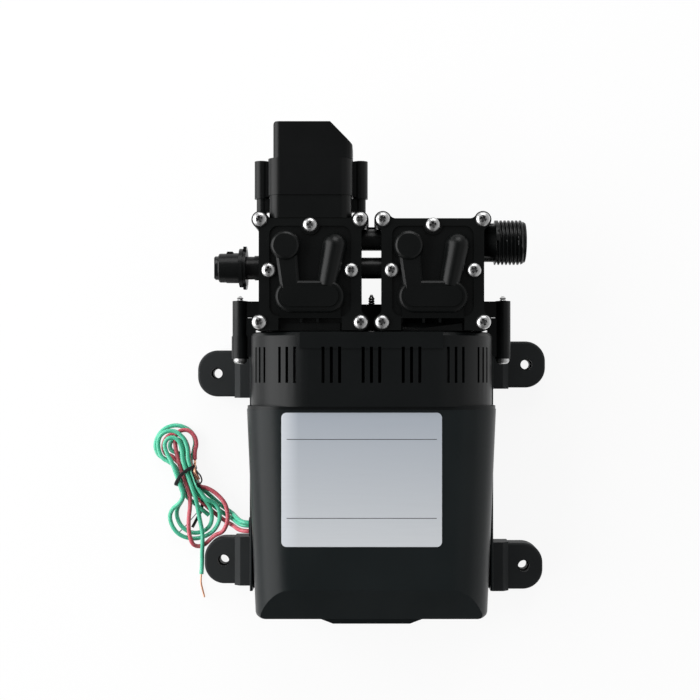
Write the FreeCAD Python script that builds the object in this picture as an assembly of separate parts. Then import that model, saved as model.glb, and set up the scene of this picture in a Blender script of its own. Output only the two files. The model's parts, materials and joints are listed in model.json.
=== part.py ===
# Twin motor diaphragm water pump, lying on its back on four rubber feet.
# +X goes to the outlet, +Y to the pressure switch, +Z out of the label.
# The origin is at the middle of the outline, to a millimetre, on the surface under the feet.
import FreeCAD, Part
import math
import os

Vec = FreeCAD.Vector

# Overall layout
object_top_y = 117.5
head_spacing = 56.9
motor_z = 37.6
head_middle_y = 46.4

# Fits
slip_gap = 0.05
running_gap = 0.03
loose_gap = 0.3

# Motor cover, a drafted bucket with its mouth towards the pump heads
cover_mouth_y = -16.6
cover_end_y = -115.9
cover_mouth_half = 59.75
cover_end_half = 55.5
cover_back_z = 10.5
cover_front_z = 67.0
cover_front_radius = 19.0
cover_back_radius = 6.0
cover_end_radius = 2.4
cover_wall = 2.5
cover_slope_length = 15.4
cover_slope_drop = 10.0
cover_bulge = 3.6
cover_bulge_half = 18.4
cover_bulge_foot_half = 29.3
cover_bulge_back_z = 20.0
cover_bulge_front_z = 50.0
cover_rib_thickness = 2.4
cover_rib_places = [-66.0, -32.0]

# Vent collar between the motor cover and the pump heads
collar_top_y = 20.1
collar_middle_z = 39.5
collar_radius = 29.2
collar_half = 58.5
collar_wall = 2.4
collar_flange = 1.6
collar_spigot = 4.0
collar_panel_half = 33.3
collar_panel_height = 0.5
collar_panel_low_y = 12.0
slot_low_y = -4.0
slot_high_y = 12.8
slot_width = 1.4
slot_pitch = 3.85
slot_group_arcs = [0.0, 18.6, 39.6, 56.8]

# Screw bosses at the sides of the collar and the crank housing
boss_x = 65.0
boss_z = 30.0
boss_radius = 3.8
boss_step_radius = 4.2
boss_low_y = 7.6
boss_step_y = 18.7
boss_part_y = 28.0
boss_fin_x = 57.2
boss_top_y = 36.1
boss_screw_radius = 1.7
boss_screw_head_radius = 3.3
boss_screw_head = 2.8
boss_screw_tip_y = 38.6
centre_screw_tip_y = 39.3
bridge_top_y = 33.9
bridge_back_z = 24.0
bridge_front_z = 42.0

# Base tray with a slot in each side for the rubber feet
tray_from_end = 6.7
tray_high_y = 17.5
tray_side_gap = 0.15
tray_back_z = 2.0
tray_plate = 2.5
tray_skirt = 1.4
tray_skirt_z = 20.0
tray_rail_width = 12.5
tray_slot_back_z = 3.5
tray_slot_front_z = 9.0
tray_neck_back_z = 4.8
tray_neck_front_z = 7.7
tray_lip = 3.0
tray_slot_depth = 4.6
tray_screw_x = 38.0
tray_screw_from_end = 11.2
tray_screw_high_y = -30.0
tray_screw_radius = 1.6
tray_screw_head_radius = 3.2
tray_screw_head = 2.0

# Rubber feet, four of one moulding
foot_upper_reach = 27.4
foot_lower_left_reach = 24.0
foot_lower_right_reach = 26.1
foot_hole_from_tip = 9.6
foot_width = 23.6
foot_height = 11.0
foot_corner_radius = 10.2
foot_edge = 1.2
foot_root_reach = 8.6
foot_root_height = 13.5
foot_root_width = 24.8
foot_hole_radius = 2.4
foot_recess_radius = 3.0
foot_recess_depth = 5.0
foot_tongue_length = 14.0
foot_tongue_head = 3.6
foot_places = {
    "foot_upper_left": (-1, 0.3, foot_upper_reach),
    "foot_upper_right": (1, 4.9, foot_upper_reach),
    "foot_lower_left": (-1, cover_end_y + tray_from_end + 14.0, foot_lower_left_reach),
    "foot_lower_right": (1, cover_end_y + tray_from_end + 11.2, foot_lower_right_reach),
}

# Rating label on the front of the motor cover
label_left = -41.9
label_right = 32.8
label_top_y = -17.9
label_low_y = -80.3
label_radius = 2.4
label_thickness = 0.3

# Pump heads: crank housing, diaphragm, valve body, gasket and cover
head_half = 23.8
head_low_y = 20.4
head_top_y = 72.3
head_boss_radius = 3.95
head_blend = 3.0
corner_screw_top = (23.2, 71.7)
corner_screw_low = (23.5, 24.1)
side_screw = (19.1, 48.2)
top_screw_y = 69.1
head_screw_radius = 1.6
head_screw_head_radius = 3.4
head_screw_head = 2.3
head_screw_end_z = 40.0
side_screw_end_z = 62.3
housing_back_z = 20.5
housing_front_z = 49.0
housing_flange = 5.0
housing_side_inset = 1.6
housing_corner_radius = 4.0
crank_room_gap = 1.6
crank_room_low_y = 28.0
crank_room_high_y = 58.0
diaphragm_open_radius = 15.0
diaphragm_radius = 19.0
diaphragm_flange = 2.0
diaphragm_hub_radius = 8.0
diaphragm_web = 1.1
valve_front_z = 64.0
chamber_roof_z = 54.0
manifold_z = 58.0
manifold_radius = 2.8
suction_y = 50.1
discharge_y = 63.3
outlet_y = 62.1
valve_offset = 7.9
valve_y = 36.0
valve_pocket_radius = 5.4
valve_seat = 2.5
valve_seat_low_z = 56.0
valve_hole_radius = 1.0
valve_hole_ring = 3.0
valve_hole_count = 5
valve_stem_radius = 1.1
valve_cap_radius = 4.7
valve_cap_height = 1.5
riser_radius = 2.2
gasket = 0.8
cover_plate = 4.5
cover_recess = 1.1
cover_rim = 4.9
cover_recess_radius = 4.2
bulge_front_z = 75.0
chamber_half = 15.9
chamber_low_y = 28.6
chamber_high_y = 43.3
chamber_front_z = 73.4
chamber_step = 2.2
chamber_step_height = 0.6
disc_offset = (-11.2, 59.3)
disc_radius = 6.3
neck_end = (-9.0, 40.0)
neck_half = 4.4
neck_front_z = 73.6
tube_offset = (11.5, 59.6)
tube_end = (7.8, 41.0)
tube_radius = 5.8
tube_end_radius = 4.8
tube_axis_z = 69.2
head_wall = 1.8
foot_flare_y = 25.6
foot_slot_low_y = 24.0
foot_slot_high_y = 26.0
foot_slot_half = 14.7
foot_slot_ribs = [-4.2, 3.4]
foot_slot_rib = 1.2
front_tab_half = 13.9
front_tab_z = 65.6

# Links between the two heads
link_radius = 5.0
link_spigot_radius = 3.5
link_spigot = 5.8
link_bore_radius = 2.3
ring_section = 0.9
ring_groove = 1.2
ring_from_end = 2.0

# Outlet with its G 1/2 thread
outlet_neck_radius = 9.1
outlet_neck_end_x = 58.1
outlet_thread_radius = 10.48
outlet_thread_end_x = 70.2
outlet_end_x = 72.3
outlet_lead_radius = 9.3
outlet_bore_radius = 6.5
outlet_bore_start_x = 54.0
outlet_throat_radius = 5.0
outlet_throat_start_x = 44.0

# Inlet stub, connector, clip and plug
inlet_collar_radius = 5.8
inlet_collar_x = -55.0
inlet_stub_radius = 5.4
inlet_stub_end_x = -58.8
inlet_socket_radius = 4.25
inlet_bore_radius = 2.7
clip_radius = 9.6
clip_width = 1.5
clip_thickness = 1.2
clip_gap_angle = 74.0
connector_flange_radius = 9.1
connector_flange = 1.7
connector_radius = 6.85
connector_ring_radius = 7.1
connector_end_x = -72.0
connector_ring_x = -68.3
connector_spigot_radius = 4.2
connector_spigot = 7.0
connector_tab = (-68.1, -65.1)
plug_radius = 2.65
plug_depth = 8.0
plug_head_radius = 5.6
plug_head = 2.1

# Pressure switch on top of the left head
switch_x = -28.5
switch_z = 57.0
switch_half = 19.8
switch_depth_half = 12.2
switch_base_half = 19.2
switch_base_depth_half = 11.6
switch_base_y = 83.4
switch_body_y = 100.5
switch_corner_radius = 6.0
switch_body_wall = 2.4
cap_left_x = -45.8
cap_right_x = -8.8
cap_chamfer_x = -19.2
cap_chamfer_y = 106.9
cap_depth_half = 11.2
cap_corner_radius = 1.5
cap_side_radius = 3.2
cap_wall = 2.0
pillar_offset = 23.3
pillar_radius = 3.45
pillar_low_y = 82.7
pillar_top_y = 100.4
lug_radius = 2.5
lug_low_y = 76.0
switch_port_radius = 1.6
switch_seat_radius = 10.0
switch_diaphragm_thickness = 1.2
plunger_disc_radius = 6.0
plunger_disc = 1.6
plunger_stem_radius = 2.2
plunger_room = 7.0
spring_inner_radius = 2.9
spring_wire = 0.8
micro_width = 27.8
micro_height = 15.9
micro_blade = 1.4
micro_x = -29.6
micro_low_y = 94.4
micro_pocket_y = 92.6
button_radius = 1.3
button_length = 1.6
switch_screw_radius = 1.4
switch_screw_head_radius = 2.5
switch_screw_head = 1.6
switch_screw_recess = 2.2
switch_screw_end_y = 77.5

# Motors
can_radius = 24.0
can_wall = 1.5
can_low_y = -82.0
can_high_y = 12.0
can_boss_radius = 8.0
can_boss = 3.0
magnet_thickness = 5.2
magnet_half_angle = 68.0
magnet_low_y = -66.0
magnet_high_y = -6.0
armature_radius = 16.0
armature_low_y = -60.0
armature_high_y = -12.0
armature_slots = 10
armature_slot_width = 2.2
armature_slot_depth = 8.0
winding_length = 5.0
winding_radius = 14.0
commutator_radius = 6.0
commutator_low_y = -80.0
commutator_high_y = -68.0
commutator_bars = 10
shaft_radius = 2.5
shaft_low_y = -87.0
shaft_high_y = 52.6
brush_cap_thickness = 3.0
brush_cap_boss = 4.0
brush_cap_boss_radius = 6.0
brush_width = 5.0
brush_length = 9.0
brush_height = 6.0
brush_y = -74.0
bearing_radius = 8.0
bearing_width = 5.0
bearing_low_y = 22.0

# Crank and rod
crank_throw = 1.6
eccentric_radius = 5.0
eccentric_length = 7.4
rod_bearing_radius = 9.5
rod_bearing_width = 5.0
rod_ring_wall = 1.7
rod_width = 8.0
rod_pad_radius = 7.4
rod_pad = 2.2
rod_stud_radius = 2.0
rod_stud = 2.4
diaphragm_hub_low_z = 47.6

# Wires
wire_radius = 1.1
wire_exit_x = -62.0
grommet_inner_x = -54.5
grommet_low_from_end = 33.5
grommet_high_from_end = 43.3
grommet_back_z = 10.9
grommet_front_z = 18.3
wire_pitch = 2.7
hank_x = -95.6
hank_y = -52.4
hank_lean = 19.0
waist_half = 5.0
waist_z = 2.2
floor_z = 1.15
tie_width = 1.6
tie_thickness = 0.9
tie_gap = 0.1

# Sizes that follow from the ones above
cover_slope_y = cover_end_y + cover_slope_length
object_end_y = cover_end_y - cover_bulge
tray_half = cover_mouth_half + tray_side_gap + tray_skirt
tray_low_y = cover_end_y + tray_from_end
tray_screw_places = [tray_low_y + tray_screw_from_end, tray_screw_high_y]
grommet_low_y = cover_end_y + grommet_low_from_end
grommet_high_y = cover_end_y + grommet_high_from_end
rod_ring_radius = rod_bearing_radius + rod_ring_wall
crank_room_radius = rod_ring_radius + crank_throw + crank_room_gap

# Routes of the free wires as (x, y, z)
green_route_a = [
    (-62.0, -77.1, 13.2),
    (-65.4, -77.1, 13.2),
    (-69.0, -76.0, 8.6),
    (-71.4, -75.0, 2.7),
    (-75.2, -73.1, 1.2),
    (-80.2, -69.7, 1.2),
    (-86.0, -64.3, 1.5),
]
green_route_b = [
    (-62.0, -75.2, 15.9),
    (-65.2, -75.2, 15.9),
    (-68.8, -73.6, 10.6),
    (-71.0, -72.4, 4.0),
    (-74.4, -70.5, 1.2),
    (-79.2, -67.0, 1.2),
    (-84.2, -62.3, 1.5),
]
red_route = [
    (-62.0, -79.6, 15.4),
    (-65.2, -79.6, 15.4),
    (-68.8, -79.1, 9.8),
    (-71.2, -78.5, 2.8),
    (-75.6, -76.3, 1.2),
    (-81.2, -72.3, 1.2),
    (-87.4, -66.6, 1.5),
]
tail_route = [
    (-90.2, -64.0, 7.0),
    (-88.9, -73.0, 5.0),
    (-87.4, -80.5, 4.3),
    (-87.0, -87.0, 5.2),
    (-87.7, -92.4, 2.4),
    (-87.8, -98.0, 1.15),
    (-88.2, -103.6, 1.15),
]


# Basic shapes
def box(x0, x1, y0, y1, z0, z1):
    return Part.makeBox(x1 - x0, y1 - y0, z1 - z0, Vec(x0, y0, z0))


def rod_x(radius, x0, x1, y, z):
    return Part.makeCylinder(radius, x1 - x0, Vec(x0, y, z), Vec(1, 0, 0))


def rod_y(radius, y0, y1, x, z):
    return Part.makeCylinder(radius, y1 - y0, Vec(x, y0, z), Vec(0, 1, 0))


def rod_z(radius, z0, z1, x, y):
    return Part.makeCylinder(radius, z1 - z0, Vec(x, y, z0), Vec(0, 0, 1))


def in_xy(z):
    return lambda u, v: Vec(u, v, z)


def in_xz(y):
    return lambda u, v: Vec(u, y, v)


def in_yz(x):
    return lambda u, v: Vec(x, u, v)


# A closed wire through corners (u, v, radius), with each corner rounded by its own radius.
def outline(corners, place):
    count = len(corners)
    ends = []
    edges = []
    for i in range(count):
        u, v, radius = corners[i]
        before = corners[i - 1]
        after = corners[(i + 1) % count]
        if radius <= 0:
            ends.append(((u, v), (u, v), None))
            continue
        ax, ay = before[0] - u, before[1] - v
        bx, by = after[0] - u, after[1] - v
        a_long, b_long = math.hypot(ax, ay), math.hypot(bx, by)
        ax, ay, bx, by = ax / a_long, ay / a_long, bx / b_long, by / b_long
        half = math.acos(max(-1.0, min(1.0, ax * bx + ay * by))) / 2
        reach = radius / math.tan(half)
        mx, my = ax + bx, ay + by
        m_long = math.hypot(mx, my)
        inward = radius / math.sin(half) - radius
        start = (u + ax * reach, v + ay * reach)
        end = (u + bx * reach, v + by * reach)
        ends.append((start, end, (u + mx / m_long * inward, v + my / m_long * inward)))
    for i in range(count):
        start, end, middle = ends[i]
        following = ends[(i + 1) % count][0]
        if middle:
            edges.append(Part.Arc(place(*start), place(*middle), place(*end)).toShape())
        if math.hypot(end[0] - following[0], end[1] - following[1]) > 1e-6:
            edges.append(Part.LineSegment(place(*end), place(*following)).toShape())
    return Part.Wire(edges)


def prism(corners, place, along):
    return Part.Face(outline(corners, place)).extrude(along)


def rounded_block(x0, x1, y0, y1, z0, z1, radius):
    corners = [(x0, y0, radius), (x1, y0, radius), (x1, y1, radius), (x0, y1, radius)]
    return prism(corners, in_xy(z0), Vec(0, 0, z1 - z0))


def rounded_bar(x0, x1, z0, z1, y0, y1, radius):
    corners = [(x0, z0, radius), (x1, z0, radius), (x1, z1, radius), (x0, z1, radius)]
    return prism(corners, in_xz(y0), Vec(0, y1 - y0, 0))


def loft(wires):
    return Part.makeLoft(wires, True, True)


# A full turn of a profile given as (distance from the axis, height along it).
def turned(profile, base, axis):
    side = Vec(0, 0, 1) if abs(axis.z) < 0.5 else Vec(1, 0, 0)
    points = [base + side * r + axis * h for r, h in profile]
    wire = Part.makePolygon(points + [points[0]])
    return Part.Face(wire).revolve(base, axis, 360)


def merged(shapes):
    return shapes[0].multiFuse(shapes[1:]).removeSplitter()


def less(shape, tools):
    for tool in tools:
        shape = shape.cut(tool)
    return shape


def mirrored(shape):
    return shape.mirror(Vec(0, 0, 0), Vec(1, 0, 0))


heads = {"left": -head_spacing / 2, "right": head_spacing / 2}


# Motor cover
def cover_half_at(y):
    share = (cover_mouth_y - y) / (cover_mouth_y - cover_end_y)
    return cover_mouth_half + (cover_end_half - cover_mouth_half) * share


def cover_section(y, inset):
    half = cover_half_at(y) - inset
    low = cover_back_z + inset
    high = cover_front_z - inset
    back = cover_back_radius - min(inset, cover_back_radius - 1)
    front = cover_front_radius - inset
    corners = [(-half, low, back), (half, low, back), (half, high, front), (-half, high, front)]
    return outline(corners, in_xz(y))


def cover_slope(inset):
    low_y = cover_end_y - 5
    rate = cover_slope_drop / (cover_slope_y - cover_end_y)
    drop = rate * (cover_slope_y - low_y)
    front = cover_front_z - inset
    corners = [
        (cover_slope_y, front, 0),
        (low_y, front - drop, 0),
        (low_y, front + 9, 0),
        (cover_slope_y, front + 9, 0),
    ]
    return prism(corners, in_yz(-cover_mouth_half - 5), Vec(2 * cover_mouth_half + 10, 0, 0))


def motor_cover():
    sections = [cover_section(cover_mouth_y, 0)]
    for turn in [0, 30, 60, 90]:
        lift = cover_end_radius * (1 - math.sin(math.radians(turn)))
        inset = cover_end_radius * (1 - math.cos(math.radians(turn)))
        sections.append(cover_section(cover_end_y + lift, inset))
    outer = loft(sections).cut(cover_slope(0))
    bulge = [
        (-cover_bulge_foot_half, cover_end_y + 0.5, 0),
        (-cover_bulge_half, object_end_y, 1.0),
        (cover_bulge_half, object_end_y, 1.0),
        (cover_bulge_foot_half, cover_end_y + 0.5, 0),
    ]
    height = Vec(0, 0, cover_bulge_front_z - cover_bulge_back_z)
    outer = outer.fuse(prism(bulge, in_xy(cover_bulge_back_z), height))
    inner = loft([cover_section(y, cover_wall) for y in [cover_mouth_y + 1, cover_end_y + cover_wall]])
    inner = inner.cut(cover_slope(cover_wall))
    shell = outer.cut(inner)
    for y in cover_rib_places:
        rib = Part.Face(cover_section(y, cover_wall - 0.5)).extrude(Vec(0, cover_rib_thickness, 0))
        for x in heads.values():
            rib = rib.cut(rod_y(can_radius + slip_gap, y - 1, y + cover_rib_thickness + 1, x, motor_z))
        shell = shell.fuse(rib)
    holes = [
        rod_z(tray_screw_radius, cover_back_z - 1, cover_back_z + cover_wall + 1, x, y)
        for x, y in tray_screw_points()
    ]
    holes.append(grommet_bar(grommet_inner_x - 6, grommet_inner_x + 6, slip_gap))
    return less(shell.removeSplitter(), holes)


# Vent collar
def collar_section(y, inset):
    radius = collar_radius - inset
    half = collar_half - inset
    low, high = collar_middle_z - radius, collar_middle_z + radius
    corner = radius - 0.01
    corners = [(-half, low, corner), (half, low, corner), (half, high, corner), (-half, high, corner)]
    return outline(corners, in_xz(y))


def vent_slots():
    cuts = []
    flat = collar_half - collar_radius
    half = slot_width / 2
    for group in slot_group_arcs:
        for side in [-1, 1]:
            if side < 0 and group == 0:
                continue
            for step in [-1, 0, 1]:
                arc = group + step * slot_pitch
                turn = max(0.0, (abs(arc) - flat) / collar_radius)
                x = arc if turn == 0 else flat + collar_radius * math.sin(turn)
                z = collar_middle_z + collar_radius * math.cos(turn)
                cut = box(-half, half, slot_low_y, slot_high_y, -collar_wall - 2, 3)
                cut.rotate(Vec(0, 0, 0), Vec(0, 1, 0), math.degrees(turn))
                cut.translate(Vec(x, 0, z))
                cuts.append(cut if side > 0 else mirrored(cut))
    return cuts


def vent_collar():
    body = loft([
        collar_section(cover_mouth_y + collar_flange - 0.1, 0),
        collar_section(collar_top_y - 2.0, 0),
        collar_section(collar_top_y - 0.6, 0.6),
        collar_section(collar_top_y, 2.0),
    ])
    flange = Part.Face(cover_section(cover_mouth_y, loose_gap)).extrude(Vec(0, collar_flange, 0))
    spigot_ends = [cover_mouth_y + 0.1, cover_mouth_y - collar_spigot]
    spigot = loft([cover_section(y, cover_wall + slip_gap) for y in spigot_ends])
    low = collar_top_y - collar_panel_low_y
    top = collar_middle_z + collar_radius + collar_panel_height
    panel = box(-collar_panel_half, collar_panel_half, collar_top_y - low, collar_top_y - 0.4, top - 3, top)
    whole = merged([body, flange, spigot, panel])
    room = Part.Face(collar_section(cover_mouth_y - collar_spigot - 1, collar_wall))
    room = room.extrude(Vec(0, collar_top_y - collar_wall - cover_mouth_y + collar_spigot + 1, 0))
    tools = [room]
    for x in heads.values():
        tools.append(rod_y(bearing_radius + 1, collar_top_y - 5, collar_top_y + 5, x, motor_z))
    tools.append(rod_y(boss_screw_radius + slip_gap, collar_top_y - 5, collar_top_y + 5, 0, boss_z))
    whole = less(whole, tools + vent_slots())
    parts = [whole]
    for side in [-1, 1]:
        x = side * boss_x
        step = boss_step_radius if side < 0 else boss_radius
        inner = side * (collar_half - 4.5)
        parts.append(rod_y(boss_radius, boss_low_y, boss_part_y, x, boss_z))
        parts.append(rod_y(step, boss_low_y, boss_step_y, x, boss_z))
        parts.append(
            box(min(inner, x), max(inner, x), boss_low_y + 1, collar_top_y - 3, boss_z - 2, boss_z + 2)
        )
        fin = side * boss_fin_x
        fin_top = boss_part_y - loose_gap
        parts.append(box(min(fin, x), max(fin, x), collar_top_y - 4, fin_top, boss_z - 2, boss_z + 2))
    whole = merged(parts)
    bores = [rod_y(boss_screw_radius + slip_gap, 0, boss_top_y, side * boss_x, boss_z) for side in [-1, 1]]
    return less(whole, bores)


# Base tray, with a slotted rail along each side
def tray_screw_points():
    return [(side * tray_screw_x, y) for y in tray_screw_places for side in [-1, 1]]


def base_tray():
    inner = tray_half - tray_rail_width
    long = Vec(0, tray_high_y - tray_low_y, 0)
    skirt_inner = tray_half - tray_skirt
    slot_inner = tray_half - tray_lip - tray_slot_depth
    lip = tray_half - tray_lip
    corners = [
        (inner, tray_back_z, 1),
        (tray_half, tray_back_z, 1),
        (tray_half, tray_neck_back_z, 0),
        (lip, tray_neck_back_z, 0),
        (lip, tray_slot_back_z, 0),
        (slot_inner, tray_slot_back_z, 0),
        (slot_inner, tray_slot_front_z, 0),
        (lip, tray_slot_front_z, 0),
        (lip, tray_neck_front_z, 0),
        (tray_half, tray_neck_front_z, 0),
        (tray_half, tray_skirt_z, 0.5),
        (skirt_inner, tray_skirt_z, 0.5),
        (skirt_inner, cover_back_z - slip_gap, 0),
        (inner, cover_back_z - slip_gap, 0),
    ]
    rail = prism(corners, in_xz(tray_low_y), long)
    plate = box(
        -inner - 1, inner + 1, tray_low_y, tray_high_y, cover_back_z - tray_plate, cover_back_z - slip_gap
    )
    ribs = []
    for y in tray_screw_places:
        ribs.append(
            box(-inner - 1, inner + 1, y + 6, y + 8, tray_back_z + 1, cover_back_z - tray_plate + 0.5)
        )
    tray = merged([rail, mirrored(rail), plate] + ribs)
    collar_room = Part.Face(collar_section(cover_mouth_y, -slip_gap)).extrude(Vec(0, 60, 0))
    tools = [collar_room, grommet_bar(wire_exit_x - 2, grommet_inner_x, slip_gap)]
    for x, y in tray_screw_points():
        tools.append(rod_z(tray_screw_radius + slip_gap, 0, cover_back_z + 1, x, y))
        boss_z0 = cover_back_z - tray_plate - 1
        tray = tray.fuse(rod_z(tray_screw_head_radius + 1, boss_z0, cover_back_z - slip_gap, x, y))
    return less(tray, tools)


# Rubber feet
def rubber_foot(side, y, reach):
    edge = tray_half + slip_gap
    tip = tray_half + reach
    half = foot_width / 2
    corners = [
        (edge, y - half, 0),
        (tip, y - half, foot_corner_radius),
        (tip, y + half, foot_corner_radius),
        (edge, y + half, 0),
    ]
    ear = prism(corners, in_xy(0), Vec(0, 0, foot_height))
    rim = [e for e in ear.Edges if abs(e.BoundBox.ZMin - foot_height) < 1e-3 and e.BoundBox.XMax > edge + 1]
    ear = ear.makeFillet(foot_edge, rim)
    root = [
        (edge, 0, 0),
        (edge + foot_root_reach, 0, 0),
        (edge + foot_root_reach, foot_height, 1.0),
        (edge + foot_root_reach - 3, foot_root_height, 1.0),
        (edge, foot_root_height, 0),
    ]
    root = prism(root, in_xz(y - foot_root_width / 2), Vec(0, foot_root_width, 0))
    tongue = (y - foot_tongue_length / 2, y + foot_tongue_length / 2)
    lip = tray_half - tray_lip
    neck = box(lip - 1, edge + 1, *tongue, tray_neck_back_z + slip_gap, tray_neck_front_z - slip_gap)
    head_x = lip - slip_gap - foot_tongue_head
    head = box(head_x, lip - slip_gap, *tongue, tray_slot_back_z + slip_gap, tray_slot_front_z - slip_gap)
    foot = merged([ear, root, neck, head])
    hole_x = tip - foot_hole_from_tip
    hole = rod_z(foot_hole_radius, -1, foot_height + 1, hole_x, y)
    recess = rod_z(foot_recess_radius, foot_height - foot_recess_depth, foot_height + 1, hole_x, y)
    foot = less(foot, [hole, recess])
    return foot if side > 0 else mirrored(foot)


# Rating label
def rating_label():
    sides = (label_left, label_right, label_low_y, label_top_y)
    return rounded_block(*sides, cover_front_z, cover_front_z + label_thickness, label_radius)


# Screws
def pan_screw(radius, head_radius, head, tip, base, axis):
    length = (tip - base).Length
    profile = [
        (0, -length),
        (radius, -length + 2 * radius),
        (radius, 0),
        (head_radius, 0),
        (head_radius, head * 0.45),
        (head_radius * 0.62, head * 0.92),
        (0, head),
    ]
    return turned(profile, base, axis)


def corner_screws(x):
    places = []
    for side in [-1, 1]:
        places.append((x + side * corner_screw_top[0], corner_screw_top[1]))
        places.append((x + side * corner_screw_low[0], corner_screw_low[1]))
    return places


def long_screws(x):
    return corner_screws(x) + [(x, top_screw_y)]


def short_screws(x):
    return [(x - side_screw[0], side_screw[1]), (x + side_screw[0], side_screw[1])]


def head_screws():
    top = valve_front_z + gasket + cover_plate
    screws = []
    for x in heads.values():
        for ends, places in [(head_screw_end_z, long_screws(x)), (side_screw_end_z, short_screws(x))]:
            for sx, sy in places:
                base = Vec(sx, sy, top)
                tip = Vec(sx, sy, ends)
                screws.append(
                    pan_screw(
                        head_screw_radius, head_screw_head_radius, head_screw_head, tip, base, Vec(0, 0, 1)
                    ),
                )
    return Part.makeCompound(screws)


def screw_holes(x, low, high):
    holes = [rod_z(head_screw_radius + slip_gap, low, high, sx, sy) for sx, sy in long_screws(x)]
    short_low = max(low, side_screw_end_z - slip_gap)
    if short_low < high:
        holes += [
            rod_z(head_screw_radius + slip_gap, short_low, high, sx, sy) for sx, sy in short_screws(x)
        ]
    return holes


def boss_screws():
    screws = []
    for side in [-1, 1]:
        base = Vec(side * boss_x, boss_low_y, boss_z)
        tip = Vec(side * boss_x, boss_screw_tip_y, boss_z)
        screws.append(
            pan_screw(boss_screw_radius, boss_screw_head_radius, boss_screw_head, tip, base, Vec(0, -1, 0))
        )
    base = Vec(0, collar_top_y - collar_wall, boss_z)
    tip = Vec(0, centre_screw_tip_y, boss_z)
    screws.append(
        pan_screw(boss_screw_radius, boss_screw_head_radius, boss_screw_head, tip, base, Vec(0, -1, 0))
    )
    return Part.makeCompound(screws)


def base_screws():
    screws = []
    for x, y in tray_screw_points():
        base = Vec(x, y, cover_back_z - tray_plate - 1)
        tip = Vec(x, y, cover_back_z + cover_wall - 0.2)
        screws.append(
            pan_screw(tray_screw_radius, tray_screw_head_radius, tray_screw_head, tip, base, Vec(0, 0, -1))
        )
    return Part.makeCompound(screws)


# The outline that the housing flange, valve body, gasket and cover share
def head_plate(x, low, high, grow=0.0):
    sides = (x - head_half - grow, x + head_half + grow)
    plate = box(*sides, head_low_y - grow, head_top_y + grow, low, high)
    radius = head_boss_radius + grow
    bosses = [rod_z(radius, low, high, sx, sy) for sx, sy in corner_screws(x)]
    plate = merged([plate] + bosses)
    joints = []
    for edge in plate.Edges:
        bound = edge.BoundBox
        if bound.ZLength < high - low - 1e-3 or bound.XLength > 1e-3 or bound.YLength > 1e-3:
            continue
        seam = any(
            math.hypot(bound.XMin - sx - radius, bound.YMin - sy) < 1e-2 for sx, sy in corner_screws(x)
        )
        if not seam:
            joints.append(edge)
    return plate.makeFillet(head_blend, joints)


# Crank housing
def crank_housing():
    parts = []
    tools = []
    front = housing_front_z
    for x in heads.values():
        half = head_half - housing_side_inset
        sides = (x - half, x + half, collar_top_y, head_top_y - housing_side_inset)
        parts.append(rounded_block(*sides, housing_back_z, front, housing_corner_radius))
        parts.append(head_plate(x, front - housing_flange, front))
        parts += [
            rod_z(head_boss_radius - 0.8, head_screw_end_z - 3, front, sx, sy)
            for sx, sy in corner_screws(x)
        ]
        tools.append(rod_y(crank_room_radius, crank_room_low_y, crank_room_high_y, x, motor_z))
        tools.append(rod_z(diaphragm_open_radius, motor_z, front + 1, x, head_middle_y))
        tools.append(
            rod_y(bearing_radius + slip_gap, collar_top_y - 1, bearing_low_y + bearing_width, x, motor_z)
        )
        tools.append(rod_y(shaft_radius + 1.5, collar_top_y, crank_room_low_y + 1, x, motor_z))
        for sx, sy in long_screws(x):
            hole_low = head_screw_end_z - 0.5
            tools.append(rod_z(head_screw_radius + slip_gap, hole_low, front + 1, sx, sy))
    inner = head_spacing / 2 - head_half + 3
    parts.append(box(-inner, inner, collar_top_y, bridge_top_y, bridge_back_z, bridge_front_z))
    parts.append(
        box(-inner, inner, head_top_y - 3.4, head_top_y - 1.7, front - housing_flange, front - 0.6)
    )
    tools.append(rod_y(boss_screw_radius + slip_gap, collar_top_y - 1, bridge_top_y + 1, 0, boss_z))
    for side in [-1, 1]:
        x = side * boss_x
        wall = side * (head_spacing / 2 + head_half - housing_side_inset - 2)
        parts.append(rod_y(boss_radius, boss_part_y, boss_top_y, x, boss_z))
        parts.append(
            box(min(wall, x), max(wall, x), boss_part_y, boss_top_y - 0.2, boss_z - 1.8, boss_z + 1.8)
        )
        tools.append(rod_y(boss_screw_radius + slip_gap, boss_part_y - 1, boss_top_y + 1, x, boss_z))
    return less(merged(parts), tools)


def front_bearings():
    rings = []
    for x in heads.values():
        ring = rod_y(bearing_radius, bearing_low_y, bearing_low_y + bearing_width, x, motor_z)
        bore = rod_y(
            shaft_radius + running_gap, bearing_low_y - 1, bearing_low_y + bearing_width + 1, x, motor_z
        )
        shield = rod_y(bearing_radius - 1.4, bearing_low_y - 1, bearing_low_y + 0.5, x, motor_z)
        shield = shield.cut(rod_y(shaft_radius + 1.6, bearing_low_y - 2, bearing_low_y + 2, x, motor_z))
        rings.append(less(ring, [bore, shield]))
    return Part.makeCompound(rings)


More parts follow.
